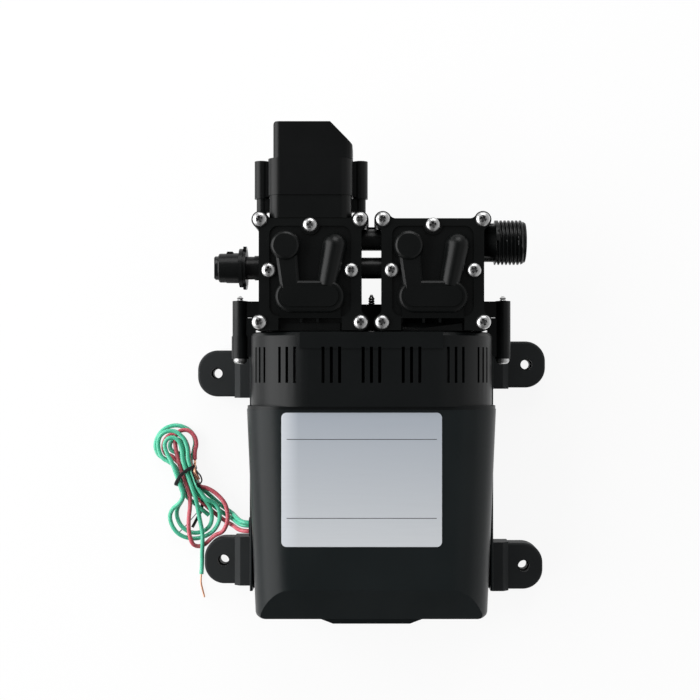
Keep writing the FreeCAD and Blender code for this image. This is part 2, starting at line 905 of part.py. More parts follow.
# Diaphragm, a moulded disc with one convolution round a thick middle
def diaphragm(x):
    low = housing_front_z
    high = low + diaphragm_flange
    hub = diaphragm_hub_radius
    profile = [
        (diaphragm_radius, low),
        (diaphragm_radius, high),
        (diaphragm_open_radius - 0.4, high),
        (diaphragm_open_radius - 2.0, high + 0.9),
        (diaphragm_open_radius - 4.0, high + 0.8),
        (hub + 1.2, high - 0.6),
        (hub, high - 0.7),
        (0, high - 0.7),
        (0, diaphragm_hub_low_z),
        (hub, diaphragm_hub_low_z),
        (hub + 1.6, high - 0.6 - diaphragm_web),
        (diaphragm_open_radius - 3.8, high + 0.7 - diaphragm_web),
        (diaphragm_open_radius - 2.2, high + 0.8 - diaphragm_web),
        (diaphragm_open_radius - 0.6, low),
    ]
    disc = turned(profile, Vec(x, head_middle_y, 0), Vec(0, 0, 1))
    stud = rod_z(
        rod_stud_radius + slip_gap,
        diaphragm_hub_low_z - 1,
        diaphragm_hub_low_z + rod_stud,
        x,
        head_middle_y,
    )
    return disc.cut(stud)


# Valve bodies
def valve_cuts(x):
    low = housing_front_z
    roof = low + diaphragm_flange
    front = valve_front_z + 1
    cuts = [
        rod_z(diaphragm_radius + slip_gap, low - 1, roof, x, head_middle_y),
        rod_z(diaphragm_open_radius, low, chamber_roof_z, x, head_middle_y),
    ]
    inlet_x, outlet_x = x - valve_offset, x + valve_offset
    seat_top = valve_seat_low_z + valve_seat
    cuts.append(rod_z(valve_pocket_radius, low, valve_seat_low_z, inlet_x, valve_y))
    cuts.append(rod_z(valve_pocket_radius, seat_top, front, inlet_x, valve_y))
    cuts.append(rod_z(valve_pocket_radius, low, valve_front_z - valve_seat, outlet_x, valve_y))
    for vx, seat in [(inlet_x, valve_seat_low_z), (outlet_x, valve_front_z - valve_seat)]:
        cuts.append(rod_z(valve_stem_radius + slip_gap, seat - 1, seat + valve_seat + 1, vx, valve_y))
        for i in range(valve_hole_count):
            turn = 2 * math.pi * i / valve_hole_count
            hx, hy = vx + valve_hole_ring * math.cos(turn), valve_y + valve_hole_ring * math.sin(turn)
            cuts.append(rod_z(valve_hole_radius, seat - 1, seat + valve_seat + 1, hx, hy))
    cuts += risers(x, front)
    return cuts


def risers(x, front):
    rise = (x + neck_middle_x(suction_y), suction_y)
    fall = (x + tube_offset[0], discharge_y - 1.8)
    return [rod_z(riser_radius, manifold_z, front, *rise), rod_z(riser_radius, manifold_z, front, *fall)]


def neck_middle_x(y):
    share = (disc_offset[1] - y) / (disc_offset[1] - neck_end[1])
    return disc_offset[0] + (neck_end[0] - disc_offset[0]) * share


def link_sockets(side):
    face = side * (head_spacing / 2 - head_half)
    deep = face + side * (link_spigot + 0.2)
    ends = (min(face - side, deep), max(face - side, deep))
    return [rod_x(link_spigot_radius + slip_gap, *ends, y, manifold_z) for y in [suction_y, discharge_y]]


def valve_block(x):
    tab = box(
        x - front_tab_half,
        x + front_tab_half,
        head_low_y - 0.1,
        foot_slot_low_y - 0.2,
        housing_front_z,
        front_tab_z,
    )
    return [head_plate(x, housing_front_z, valve_front_z), tab]


def left_valve_body():
    x = heads["left"]
    parts = valve_block(x)
    edge = x - head_half
    collar = rod_x(inlet_collar_radius, inlet_collar_x, edge + 1, suction_y, manifold_z)
    parts.append(collar.cut(head_plate(x, valve_front_z, valve_front_z + 9, loose_gap)))
    parts.append(rod_x(inlet_stub_radius, inlet_stub_end_x, edge + 1, suction_y, manifold_z))
    base = rounded_bar(
        switch_x - switch_base_half,
        switch_x + switch_base_half,
        switch_z - switch_base_depth_half,
        switch_z + switch_base_depth_half,
        head_top_y - 0.5,
        switch_base_y,
        switch_corner_radius - 1,
    )
    for side in [-1, 1]:
        px = switch_x + side * pillar_offset
        lug = rod_y(lug_radius, lug_low_y, pillar_low_y, px, switch_z)
        wall = switch_x + side * (switch_base_half - 1)
        web = box(min(wall, px), max(wall, px), lug_low_y + 0.5, pillar_low_y, switch_z - 2, switch_z + 2)
        base = merged([base, lug, web])
    base = base.cut(head_plate(x, housing_front_z - 9, housing_front_z, loose_gap))
    base = base.cut(head_plate(x, valve_front_z, valve_front_z + 9, loose_gap))
    tools = valve_cuts(x) + link_sockets(-1) + screw_holes(x, housing_front_z - 1, valve_front_z + 1)
    inner = -head_spacing / 2 + head_half
    tools.append(rod_x(manifold_radius, inlet_stub_end_x + connector_spigot, inner, suction_y, manifold_z))
    tools.append(
        rod_x(
            inlet_socket_radius,
            inlet_stub_end_x - 1,
            inlet_stub_end_x + connector_spigot + 0.2,
            suction_y,
            manifold_z,
        ),
    )
    tools.append(rod_x(manifold_radius, switch_x - manifold_radius, inner, discharge_y, manifold_z))
    tools.append(rod_y(switch_port_radius, discharge_y, switch_base_y, switch_x, switch_z))
    seat = switch_base_y - switch_diaphragm_thickness
    tools.append(rod_y(switch_seat_radius + slip_gap, seat, switch_base_y + 1, switch_x, switch_z))
    tools.append(rod_y(switch_seat_radius - 3, seat - 1.5, switch_base_y + 1, switch_x, switch_z))
    for side in [-1, 1]:
        px = switch_x + side * pillar_offset
        tools.append(
            rod_y(switch_screw_radius + slip_gap, switch_screw_end_y - 0.3, pillar_low_y + 1, px, switch_z)
        )
    return less(merged(parts + [base]), tools)


def right_valve_body():
    x = heads["right"]
    edge = x + head_half
    outlet = turned(
        [
            (0, edge - 1),
            (outlet_neck_radius, edge - 1),
            (outlet_neck_radius, outlet_neck_end_x),
            (outlet_thread_radius, outlet_neck_end_x),
            (outlet_thread_radius, outlet_thread_end_x),
            (outlet_lead_radius, outlet_end_x),
            (0, outlet_end_x),
        ],
        Vec(0, outlet_y, manifold_z),
        Vec(1, 0, 0),
    )
    around = head_plate(x, valve_front_z, valve_front_z + 9, loose_gap)
    below = head_plate(x, housing_front_z - 9, housing_front_z, loose_gap)
    outlet = less(outlet, [around, below])
    tools = valve_cuts(x) + link_sockets(1) + screw_holes(x, housing_front_z - 1, valve_front_z + 1)
    inner = head_spacing / 2 - head_half
    suction_end = x + neck_middle_x(suction_y) + manifold_radius
    tools.append(rod_x(manifold_radius, inner, suction_end, suction_y, manifold_z))
    tools.append(rod_x(manifold_radius, inner, outlet_throat_start_x + 1, discharge_y, manifold_z))
    throat, mouth = outlet_throat_start_x, outlet_bore_start_x
    tools.append(rod_x(outlet_throat_radius, throat, mouth + 1, outlet_y, manifold_z))
    tools.append(rod_x(outlet_bore_radius, mouth, outlet_end_x + 1, outlet_y, manifold_z))
    return less(merged(valve_block(x) + [outlet]), tools)


# Umbrella valves, two on the inlet side and two on the outlet side
def umbrella_valves():
    cap, stem = valve_cap_radius, valve_stem_radius
    thick = valve_seat
    valves = []
    for x in heads.values():
        for offset, seat, way in [(-valve_offset, valve_seat_low_z, -1), (valve_offset, valve_front_z, 1)]:
            profile = [
                (0, valve_cap_height),
                (cap * 0.35, valve_cap_height * 0.9),
                (cap, 0.35),
                (cap, 0),
                (stem, 0),
                (stem, -thick - 0.1),
                (stem + 0.5, -thick - 0.1),
                (stem * 0.5, -thick - 2.2),
                (0, -thick - 2.2),
            ]
            valves.append(turned(profile, Vec(x + offset, valve_y, seat), Vec(0, 0, way)))
    return Part.makeCompound(valves)


# Links and their rings
def link(y):
    face = head_spacing / 2 - head_half
    end = face + link_spigot
    groove = end - ring_from_end
    floor = link_spigot_radius - ring_section
    half = [
        (link_radius, 0),
        (link_radius, face - slip_gap),
        (link_spigot_radius, face - slip_gap),
        (link_spigot_radius, groove - ring_groove),
        (floor, groove - ring_groove),
        (floor, groove),
        (link_spigot_radius, groove),
        (link_spigot_radius, end),
        (link_bore_radius, end),
    ]
    profile = half + [(r, -h) for r, h in reversed(half[1:])]
    bar = turned(profile, Vec(0, y, manifold_z), Vec(1, 0, 0))
    middle = rod_x(link_radius, slip_gap - face, face - slip_gap, y, manifold_z)
    over = middle.common(
        merged([head_plate(x, housing_front_z, valve_front_z, slip_gap) for x in heads.values()])
    )
    return bar.cut(over)


def port_rings():
    face = head_spacing / 2 - head_half
    middle = face + link_spigot - ring_from_end - ring_groove / 2
    big = link_spigot_radius - ring_section / 2
    places = [(side * middle, y, big) for y in [suction_y, discharge_y] for side in [-1, 1]]
    inlet_x = inlet_stub_end_x + connector_spigot - ring_from_end - ring_groove / 2
    places.append((inlet_x, suction_y, connector_spigot_radius - ring_section / 2))
    small = ring_section / 2 - 0.01
    turns = [math.radians(22.5 + 45 * i) for i in range(8)]
    rings = []
    for x, y, r in places:
        section = [(r + small * math.cos(a), small * math.sin(a)) for a in turns]
        rings.append(turned(section, Vec(x, y, manifold_z), Vec(1, 0, 0)))
    return Part.makeCompound(rings)


# Head cover: rim, two port passages and the valve chamber, hollow behind
def chamber_outline(x, z, inset):
    half = chamber_half - inset
    low, high = chamber_low_y + inset, chamber_high_y - inset
    radius = (high - low) / 2 - 0.02
    return outline(
        [
            (x - half, low, radius),
            (x + half, low, radius),
            (x + half, high, radius),
            (x - half, high, radius),
        ],
        in_xy(z),
    )


def strip_outline(x, start, end, half_start, half_end, z):
    dx, dy = end[0] - start[0], end[1] - start[1]
    long = math.hypot(dx, dy)
    nx, ny = -dy / long, dx / long
    corners = [
        (x + start[0] + nx * half_start, start[1] + ny * half_start, 0),
        (x + end[0] + nx * half_end, end[1] + ny * half_end, 0),
        (x + end[0] - nx * half_end, end[1] - ny * half_end, 0),
        (x + start[0] - nx * half_start, start[1] - ny * half_start, 0),
    ]
    return outline(corners, in_xy(z))


def tube_form(x, inset):
    start = Vec(x + tube_offset[0], tube_offset[1], tube_axis_z)
    end = Vec(x + tube_end[0], tube_end[1], tube_axis_z)
    big, small = tube_radius - inset, tube_end_radius - inset
    cone = Part.makeCone(big, small, (end - start).Length, start, end - start)
    ball = Part.makeSphere(big, start)
    low = valve_front_z + gasket
    pillar = rod_z(big, low, tube_axis_z, start.x, start.y)
    strip = Part.Face(strip_outline(x, tube_offset, tube_end, big, small, low)).extrude(
        Vec(0, 0, tube_axis_z - low)
    )
    form = merged([cone, ball, pillar, strip])
    return form.cut(box(x - 40, x + 40, 0, 100, low - 20, low))


def head_cover(x):
    low = valve_front_z + gasket
    top = low + cover_plate
    floor = top - cover_recess
    plate = head_plate(x, low, top)
    half = head_half - cover_rim
    recess = rounded_block(
        x - half, x + half, chamber_low_y - 1.6, top_screw_y - 0.3, floor, top + 1, cover_recess_radius
    )
    recess = recess.cut(rod_z(head_screw_head_radius + 1.0, low, top + 2, x, top_screw_y))
    plate = plate.cut(recess)
    chamber = loft([
        chamber_outline(x, low + 1, -0.9),
        chamber_outline(x, chamber_front_z - 1.0, 0),
        chamber_outline(x, chamber_front_z - 0.3, 0.4),
        chamber_outline(x, chamber_front_z, 1.2),
    ])
    step = loft([
        chamber_outline(x, chamber_front_z - 1, chamber_step),
        chamber_outline(x, chamber_front_z + chamber_step_height, chamber_step + 0.4),
    ])
    dx, dy = disc_offset
    disc = turned(
        [
            (0, low + 1),
            (disc_radius + 1.0, low + 1),
            (disc_radius + 0.4, bulge_front_z - 1.4),
            (disc_radius - 0.1, bulge_front_z - 0.5),
            (disc_radius - 0.9, bulge_front_z),
            (0, bulge_front_z),
        ],
        Vec(x + dx, dy, 0),
        Vec(0, 0, 1),
    )
    neck = loft([
        strip_outline(x, disc_offset, neck_end, neck_half + 1.6, neck_half + 1.0, low + 1),
        strip_outline(x, disc_offset, neck_end, neck_half + 0.6, neck_half, neck_front_z - 1.2),
        strip_outline(x, disc_offset, neck_end, neck_half - 0.6, neck_half - 1.2, neck_front_z),
    ])
    flare = [
        (chamber_low_y + 4, low + 1, 0),
        (foot_flare_y, low + 1, 0),
        (foot_flare_y, top, 0),
        (chamber_low_y + 4, chamber_front_z - 0.8, 0),
    ]
    flare = prism(flare, in_yz(x - foot_slot_half + 0.5), Vec(2 * foot_slot_half - 1, 0, 0))
    cover = merged([plate, chamber, step, disc, neck, tube_form(x, 0), flare])
    tools = screw_holes(x, low - 1, top + 1) + cover_rooms(x)
    tools.append(
        box(x - foot_slot_half, x + foot_slot_half, head_low_y - 2, foot_slot_low_y, low - 1, top + 1)
    )
    slot = box(
        x - foot_slot_half, x + foot_slot_half, foot_slot_low_y - 1, foot_slot_high_y, low - 1, top + 6
    )
    for rib in foot_slot_ribs:
        rib_side = x + rib - foot_slot_rib / 2
        slot = slot.cut(box(rib_side, rib_side + foot_slot_rib, 0, 50, low - 2, top - 0.8))
    tools.append(slot)
    return less(cover, tools)


def cover_rooms(x):
    low = valve_front_z
    chamber = Part.Face(chamber_outline(x, low, head_wall)).extrude(
        Vec(0, 0, chamber_front_z - head_wall - low)
    )
    chamber = chamber.cut(box(x - 0.9, x + 0.9, 0, 100, low - 1, bulge_front_z))
    neck = Part.Face(strip_outline(x, disc_offset, neck_end, neck_half - 1.4, neck_half - head_wall, low))
    neck = neck.extrude(Vec(0, 0, neck_front_z - head_wall - low))
    disc = rod_z(
        disc_radius - head_wall, low, bulge_front_z - head_wall, x + disc_offset[0], disc_offset[1]
    )
    tube = tube_form(x, head_wall)
    start = (tube_offset, tube_end, tube_radius - head_wall, tube_end_radius - head_wall)
    tube_low = Part.Face(strip_outline(x, *start, low)).extrude(Vec(0, 0, gasket + 0.1))
    pillar = rod_z(tube_radius - head_wall, low, low + gasket + 0.1, x + tube_offset[0], tube_offset[1])
    return [chamber, neck, disc, tube, tube_low, pillar]


def cover_gaskets():
    sheets = []
    low, high = valve_front_z, valve_front_z + gasket
    for x in heads.values():
        sheet = head_plate(x, low, high, -0.3)
        notch = box(x - foot_slot_half, x + foot_slot_half, 0, foot_slot_high_y, low - 1, high + 1)
        sheet = less(sheet, screw_holes(x, low - 1, high + 1) + cover_rooms(x) + [notch])
        sheets.append(sheet)
    return Part.makeCompound(sheets)


# Inlet connector, its clip and the plug in its mouth
def inlet_connector():
    stub = inlet_stub_end_x
    end = stub + connector_spigot
    groove = end - ring_from_end
    flange = stub - clip_width - 0.1
    floor = connector_spigot_radius - ring_section
    body = turned(
        [
            (inlet_bore_radius, end),
            (connector_spigot_radius, end),
            (connector_spigot_radius, groove),
            (floor, groove),
            (floor, groove - ring_groove),
            (connector_spigot_radius, groove - ring_groove),
            (connector_spigot_radius, stub - slip_gap),
            (clip_radius - clip_thickness, stub - slip_gap),
            (clip_radius - clip_thickness, flange),
            (connector_flange_radius, flange),
            (connector_flange_radius, flange - connector_flange),
            (connector_ring_radius, flange - connector_flange),
            (connector_ring_radius, connector_ring_x),
            (connector_radius, connector_ring_x),
            (connector_radius, connector_end_x + 0.7),
            (connector_radius - 0.3, connector_end_x + 0.2),
            (connector_radius - 0.8, connector_end_x),
            (inlet_bore_radius, connector_end_x),
        ],
        Vec(0, suction_y, manifold_z),
        Vec(1, 0, 0),
    )
    outer = suction_y + connector_radius
    tab = rounded_block(*connector_tab, outer - 1.5, outer + 0.8, manifold_z - 2, manifold_z + 2, 0.5)
    return body.fuse(tab).removeSplitter()


def retaining_clip():
    x0 = inlet_stub_end_x - clip_width
    ring = rod_x(clip_radius + 0.6, x0, x0 + clip_width - 0.1, suction_y, manifold_z)
    ring = ring.cut(rod_x(clip_radius - clip_thickness + slip_gap, x0 - 1, x0 + 3, suction_y, manifold_z))
    reach = 20
    turn = math.radians(clip_gap_angle)
    side = reach * math.sin(turn)
    up = reach * math.cos(turn)
    corners = [
        (suction_y, manifold_z, 0),
        (suction_y + side, manifold_z + up, 0),
        (suction_y + side, manifold_z + reach, 0),
        (suction_y - side, manifold_z + reach, 0),
        (suction_y - side, manifold_z + up, 0),
    ]
    return ring.cut(prism(corners, in_yz(x0 - 2), Vec(6, 0, 0)))


def transit_plug():
    end = connector_end_x
    body = turned(
        [
            (0, end + plug_depth),
            (plug_radius - 0.5, end + plug_depth),
            (plug_radius, end + plug_depth - 1),
            (plug_radius, end - slip_gap),
            (plug_head_radius, end - slip_gap),
            (plug_head_radius, end - plug_head + 0.6),
            (plug_head_radius - 0.6, end - plug_head),
            (0, end - plug_head),
        ],
        Vec(0, suction_y, manifold_z),
        Vec(1, 0, 0),
    )
    grip = box(
        end - plug_head - 1,
        end - plug_head + 0.9,
        suction_y - 7,
        suction_y + 7,
        manifold_z - 1.6,
        manifold_z + 1.6,
    )
    outside = rod_x(plug_head_radius + 1, end - plug_head - 2, end, suction_y, manifold_z)
    slots = outside.cut(grip).common(
        box(
            end - plug_head - 2,
            end - plug_head + 0.8,
            suction_y - 9,
            suction_y + 9,
            manifold_z - 9,
            manifold_z + 9,
        )
    )
    return body.cut(slots)


# Pressure switch
def switch_screw_places():
    return [switch_x - pillar_offset, switch_x + pillar_offset]


def switch_body():
    front, back = switch_z + switch_depth_half, switch_z - switch_depth_half
    sides = (switch_x - switch_half, switch_x + switch_half)
    body = rounded_bar(*sides, back, front, switch_base_y, switch_body_y, switch_corner_radius)
    parts = [body]
    for px in switch_screw_places():
        parts.append(rod_y(pillar_radius, pillar_low_y, pillar_top_y, px, switch_z))
        wall = switch_x + math.copysign(switch_half - 1, px - switch_x)
        web_z = (switch_z - pillar_radius + 0.6, switch_z + pillar_radius - 0.6)
        parts.append(box(min(wall, px), max(wall, px), switch_base_y + 0.1, pillar_top_y - 0.2, *web_z))
    body = merged(parts)
    room_top = switch_base_y + plunger_room
    inner = switch_body_wall
    pocket = rounded_bar(
        sides[0] + inner + 1,
        sides[1] - inner - 1,
        back + inner,
        front - inner,
        micro_pocket_y,
        switch_body_y + 1,
        switch_corner_radius - inner,
    )
    tools = [
        rod_y(plunger_disc_radius + 0.6, switch_base_y - 1, room_top, switch_x, switch_z),
        rod_y(plunger_stem_radius + slip_gap, room_top - 1, micro_pocket_y + 1, switch_x, switch_z),
        pocket,
    ]
    for px in switch_screw_places():
        tools.append(rod_y(switch_screw_radius + slip_gap, pillar_low_y - 1, pillar_top_y, px, switch_z))
        tools.append(
            rod_y(
                switch_screw_head_radius + 0.1,
                pillar_top_y - switch_screw_recess,
                pillar_top_y + 1,
                px,
                switch_z,
            ),
        )
    body = less(body, tools)
    ledge = box(
        micro_x - micro_width / 2,
        micro_x + micro_width / 2,
        micro_pocket_y - 0.2,
        micro_low_y,
        back + 1,
        front - 1,
    )
    ledge = ledge.cut(box(switch_x - 5, switch_x + 5, micro_pocket_y - 1, micro_low_y + 1, back, front))
    return body.fuse(ledge).removeSplitter()


def switch_screws():
    screws = []
    for px in switch_screw_places():
        base = Vec(px, pillar_top_y - switch_screw_recess, switch_z)
        tip = Vec(px, switch_screw_end_y, switch_z)
        screws.append(
            pan_screw(
                switch_screw_radius, switch_screw_head_radius, switch_screw_head, tip, base, Vec(0, 1, 0)
            ),
        )
    return Part.makeCompound(screws)


def cap_prism(inset, low_y, depth):
    slant = math.hypot(cap_right_x - cap_chamfer_x, object_top_y - cap_chamfer_y)
    shift = inset * (slant - (cap_right_x - cap_chamfer_x)) / (object_top_y - cap_chamfer_y)
    drop = inset * (slant - (object_top_y - cap_chamfer_y)) / (cap_right_x - cap_chamfer_x)
    corners = [
        (cap_left_x + inset, low_y, 0),
        (cap_right_x - inset, low_y, 0),
        (cap_right_x - inset, cap_chamfer_y - drop, 1.2),
        (cap_chamfer_x - shift, object_top_y - inset, 0.6),
        (cap_left_x + inset, object_top_y - inset, max(0.5, cap_corner_radius - inset)),
    ]
    return prism(corners, in_xy(switch_z - depth), Vec(0, 0, 2 * depth))


def switch_cap():
    ends = (switch_z - cap_depth_half, switch_z + cap_depth_half)
    sides = (cap_left_x, cap_right_x, *ends, switch_body_y, object_top_y + 1)
    cap = rounded_bar(*sides, cap_side_radius).common(cap_prism(0, switch_body_y, cap_depth_half))
    return cap.cut(cap_prism(cap_wall, switch_body_y - 1, cap_depth_half - cap_wall))


def switch_diaphragm():
    seat = switch_base_y - switch_diaphragm_thickness
    return rod_y(switch_seat_radius, seat, switch_base_y - 0.02, switch_x, switch_z)


def plunger_stem_end():
    return micro_low_y - button_length - slip_gap


def switch_plunger():
    low = switch_base_y + slip_gap
    top = low + plunger_disc
    disc = rod_y(plunger_disc_radius, low, top, switch_x, switch_z)
    stem = rod_y(plunger_stem_radius, low, plunger_stem_end(), switch_x, switch_z)
    return disc.fuse(stem).removeSplitter()


def switch_spring():
    low = switch_base_y + slip_gap + plunger_disc
    high = switch_base_y + plunger_room
    outer = rod_y(spring_inner_radius + spring_wire, low, high, switch_x, switch_z)
    return outer.cut(rod_y(spring_inner_radius, low - 1, high + 1, switch_x, switch_z))


def micro_switch():
    half = micro_width / 2
    case = box(
        micro_x - half,
        micro_x + half,
        micro_low_y,
        micro_low_y + micro_height,
        switch_z - 5.15,
        switch_z + 5.15,
    )
    hole = rod_y(button_radius + slip_gap, micro_low_y - 1, micro_low_y + 3.2, switch_x, switch_z)
    case = case.cut(hole)
    for side in [-1, 1]:
        px = micro_x + side * (half - 3)
        case = case.cut(rod_z(1.5, 0, 100, px, micro_low_y + 3))
        blade = box(
            px - 2,
            px + 2,
            micro_low_y + micro_height - 0.5,
            micro_low_y + micro_height + micro_blade,
            switch_z - 0.4,
            switch_z + 0.4,
        )
        case = case.fuse(blade)
    return case.removeSplitter()


def switch_button():
    return rod_y(button_radius, micro_low_y - button_length, micro_low_y + 2.2, switch_x, switch_z)


# Motors
def motor_can(x):
    outer = rod_y(can_radius, can_low_y, can_high_y, x, motor_z)
    boss = rod_y(can_boss_radius, can_high_y - 1, can_high_y + can_boss, x, motor_z)
    inner = rod_y(can_radius - can_wall, can_low_y - 1, can_high_y - can_wall, x, motor_z)
    bore = rod_y(shaft_radius + running_gap, can_high_y - 5, can_high_y + 10, x, motor_z)
    tools = [inner, bore]
    for i in range(6):
        turn = 2 * math.pi * i / 6
        vx, vz = x + 16 * math.cos(turn), motor_z + 16 * math.sin(turn)
        tools.append(rod_y(2.6, can_high_y - 4, can_high_y + 2, vx, vz))
    return less(outer.fuse(boss), tools)


def motor_magnets():
    pieces = []
    outer = can_radius - can_wall
    inner = outer - magnet_thickness
    for x in heads.values():
        ring = rod_y(outer - 0.02, magnet_low_y, magnet_high_y, x, motor_z)
        ring = ring.cut(rod_y(inner, magnet_low_y - 1, magnet_high_y + 1, x, motor_z))
        gap = outer * math.cos(math.radians(magnet_half_angle))
        ring = ring.cut(
            box(x - gap, x + gap, magnet_low_y - 1, magnet_high_y + 1, motor_z - 40, motor_z + 40)
        )
        pieces += ring.Solids
    return Part.makeCompound(pieces)


def armature(x):
    core = rod_y(armature_radius, armature_low_y, armature_high_y, x, motor_z)
    slots = []
    for i in range(armature_slots):
        slot = box(
            -armature_slot_width / 2,
            armature_slot_width / 2,
            armature_low_y - 1,
            armature_high_y + 1,
            armature_radius - armature_slot_depth,
            armature_radius + 2,
        )
        slot.rotate(Vec(0, 0, 0), Vec(0, 1, 0), 360 * i / armature_slots)
        slot.translate(Vec(x, 0, motor_z))
        slots.append(slot)
    core = less(core, slots)
    low, high = armature_low_y - winding_length, armature_high_y + winding_length
    coil = turned(
        [
            (shaft_radius + 1, low + 1.5),
            (winding_radius - 2.5, low),
            (winding_radius, low + 2.5),
            (winding_radius, armature_low_y + 0.01),
            (winding_radius - 1.5, armature_low_y + 2),
            (winding_radius - 1.5, armature_high_y - 2),
            (winding_radius, armature_high_y - 0.01),
            (winding_radius, high - 2.5),
            (winding_radius - 2.5, high),
            (shaft_radius + 1, high - 1.5),
        ],
        Vec(x, 0, motor_z),
        Vec(0, 1, 0),
    )
    bore = rod_y(shaft_radius, low - 1, high + 1, x, motor_z)
    return core.fuse(coil).cut(bore).removeSplitter()


def commutator(x):
    ring = rod_y(commutator_radius, commutator_low_y, commutator_high_y, x, motor_z)
    cuts = [rod_y(shaft_radius, commutator_low_y - 1, commutator_high_y + 1, x, motor_z)]
    for i in range(commutator_bars):
        cut = box(
            -0.25,
            0.25,
            commutator_low_y - 1,
            commutator_high_y - 1.5,
            commutator_radius - 1.2,
            commutator_radius + 1,
        )
        cut.rotate(Vec(0, 0, 0), Vec(0, 1, 0), 360 * i / commutator_bars)
        cut.translate(Vec(x, 0, motor_z))
        cuts.append(cut)
    return less(ring, cuts)


def motor_shaft(x):
    return rod_y(shaft_radius, shaft_low_y, shaft_high_y, x, motor_z)


def brush_sides(x):
    inner = commutator_radius + slip_gap
    return [(x + inner, x + inner + brush_length), (x - inner - brush_length, x - inner)]


def brush_caps():
    caps = []
    inner = can_radius - can_wall
    for x in heads.values():
        disc = rod_y(can_radius, can_low_y - brush_cap_thickness, can_low_y, x, motor_z)
        spigot = rod_y(inner - slip_gap, can_low_y - 1, can_low_y + 3, x, motor_z)
        spigot = spigot.cut(rod_y(inner - 3, can_low_y, can_low_y + 4, x, motor_z))
        boss_low = can_low_y - brush_cap_thickness - brush_cap_boss
        boss = rod_y(brush_cap_boss_radius, boss_low, can_low_y, x, motor_z)
        parts = [disc, spigot, boss]
        tools = [rod_y(shaft_radius + running_gap, boss_low + 1, can_low_y + 5, x, motor_z)]
        for x0, x1 in brush_sides(x):
            middle = (x0 + x1) / 2
            hold = (middle - brush_length / 2 + 2.5, middle + brush_length / 2 + 1)
            if middle < x:
                hold = (middle - brush_length / 2 - 1, middle + brush_length / 2 - 2.5)
            top = brush_y + brush_width / 2 + 1.5
            parts.append(
                box(
                    *hold,
                    can_low_y - 1,
                    top,
                    motor_z - brush_height / 2 - 1.5,
                    motor_z + brush_height / 2 + 1.5,
                ),
            )
            brush = brush_block(x0, x1, slip_gap)
            tools.append(brush)
        caps.append(less(merged(parts), tools))
    return Part.makeCompound(caps)


def brush_block(x0, x1, grow):
    half, tall = brush_width / 2 + grow, brush_height / 2 + grow
    return box(x0 - grow, x1 + grow, brush_y - half, brush_y + half, motor_z - tall, motor_z + tall)


def carbon_brushes():
    return Part.makeCompound([brush_block(x0, x1, 0) for x in heads.values() for x0, x1 in brush_sides(x)])


# Crank, rod and rod bearing; at rest the crank stands at its lowest
def crank_z():
    return motor_z - crank_throw


def rod_span(width):
    return (head_middle_y - width / 2, head_middle_y + width / 2)


def eccentric(x):
    low, high = rod_span(eccentric_length)
    disc = rod_y(eccentric_radius, low, high, x, crank_z())
    hub = rod_y(eccentric_radius + 1.2, low - 5, low - 0.6, x, motor_z)
    neck = rod_y(eccentric_radius - 1.3, low - 1, low + 1, x, motor_z - crank_throw / 2)
    screw = rod_z(1.0, motor_z, motor_z + 8, x, low - 2.8)
    return less(merged([disc, hub, neck]), [rod_y(shaft_radius, low - 10, high + 5, x, motor_z), screw])


def rod_bearing(x):
    low, high = rod_span(rod_bearing_width)
    ring = rod_y(rod_bearing_radius, low, high, x, crank_z())
    return ring.cut(rod_y(eccentric_radius + running_gap, low - 1, high + 1, x, crank_z()))


def connecting_rod(x):
    low, high = rod_span(rod_width)
    pad_top = diaphragm_hub_low_z - slip_gap
    ring = rod_y(rod_ring_radius, low, high, x, crank_z())
    ring = ring.cut(box(x - 20, x + 20, low - 1, high + 1, pad_top, pad_top + 20))
    neck = box(x - 6.4, x + 6.4, low, high, crank_z() + 8, pad_top - 0.5)
    pad = rod_z(rod_pad_radius, pad_top - rod_pad, pad_top, x, head_middle_y)
    stud = rod_z(rod_stud_radius, pad_top - 1, pad_top + rod_stud - 0.2, x, head_middle_y)
    body = merged([ring, neck, pad, stud])
    bearing_low, bearing_high = rod_span(rod_bearing_width)
    bore = rod_y(rod_bearing_radius, bearing_low, high + 1, x, crank_z())
    way = rod_y(rod_bearing_radius - 1.2, low - 1, bearing_low + 1, x, crank_z())
    return less(body, [bore, way])


# Wires
def grommet_bar(x0, x1, grow):
    y0, y1 = grommet_low_y - grow, grommet_high_y + grow
    z0, z1 = grommet_back_z - grow, grommet_front_z + grow
    radius = (z1 - z0) / 2 - 0.1
    corners = [(y0, z0, radius), (y1, z0, radius), (y1, z1, radius), (y0, z1, radius)]
    return prism(corners, in_yz(x0), Vec(x1 - x0, 0, 0))


def wire_grommet():
    return grommet_bar(wire_exit_x, grommet_inner_x, 0)


# A place in the hank's own frame: u across it, v along it from the tie
def hank_point(u, v, z):
    lean = math.radians(hank_lean)
    x = hank_x + u * math.cos(lean) - v * math.sin(lean)
    y = hank_y + u * math.sin(lean) + v * math.cos(lean)
    return Vec(x, y, z)


def hank_heading(angle):
    turn = math.radians(hank_lean + angle)
    return Vec(math.cos(turn), math.sin(turn), 0)


def waist_level(layer):
    return waist_z + layer * wire_pitch


def floor_level(layer):
    return floor_z + layer * wire_pitch


def arc_between(start, corner, end):
    chord = (start + end) * 0.5
    half = (end - start).Length / 2
    rise = (corner - chord).Length
    if rise < 1e-4:
        return Part.LineSegment(start, end).toShape(), 1e9
    reach = (corner - start).Length
    middle = chord + (corner - chord) * (half * (reach - half) / rise / rise)
    return Part.Arc(start, middle, end).toShape(), half * reach / rise


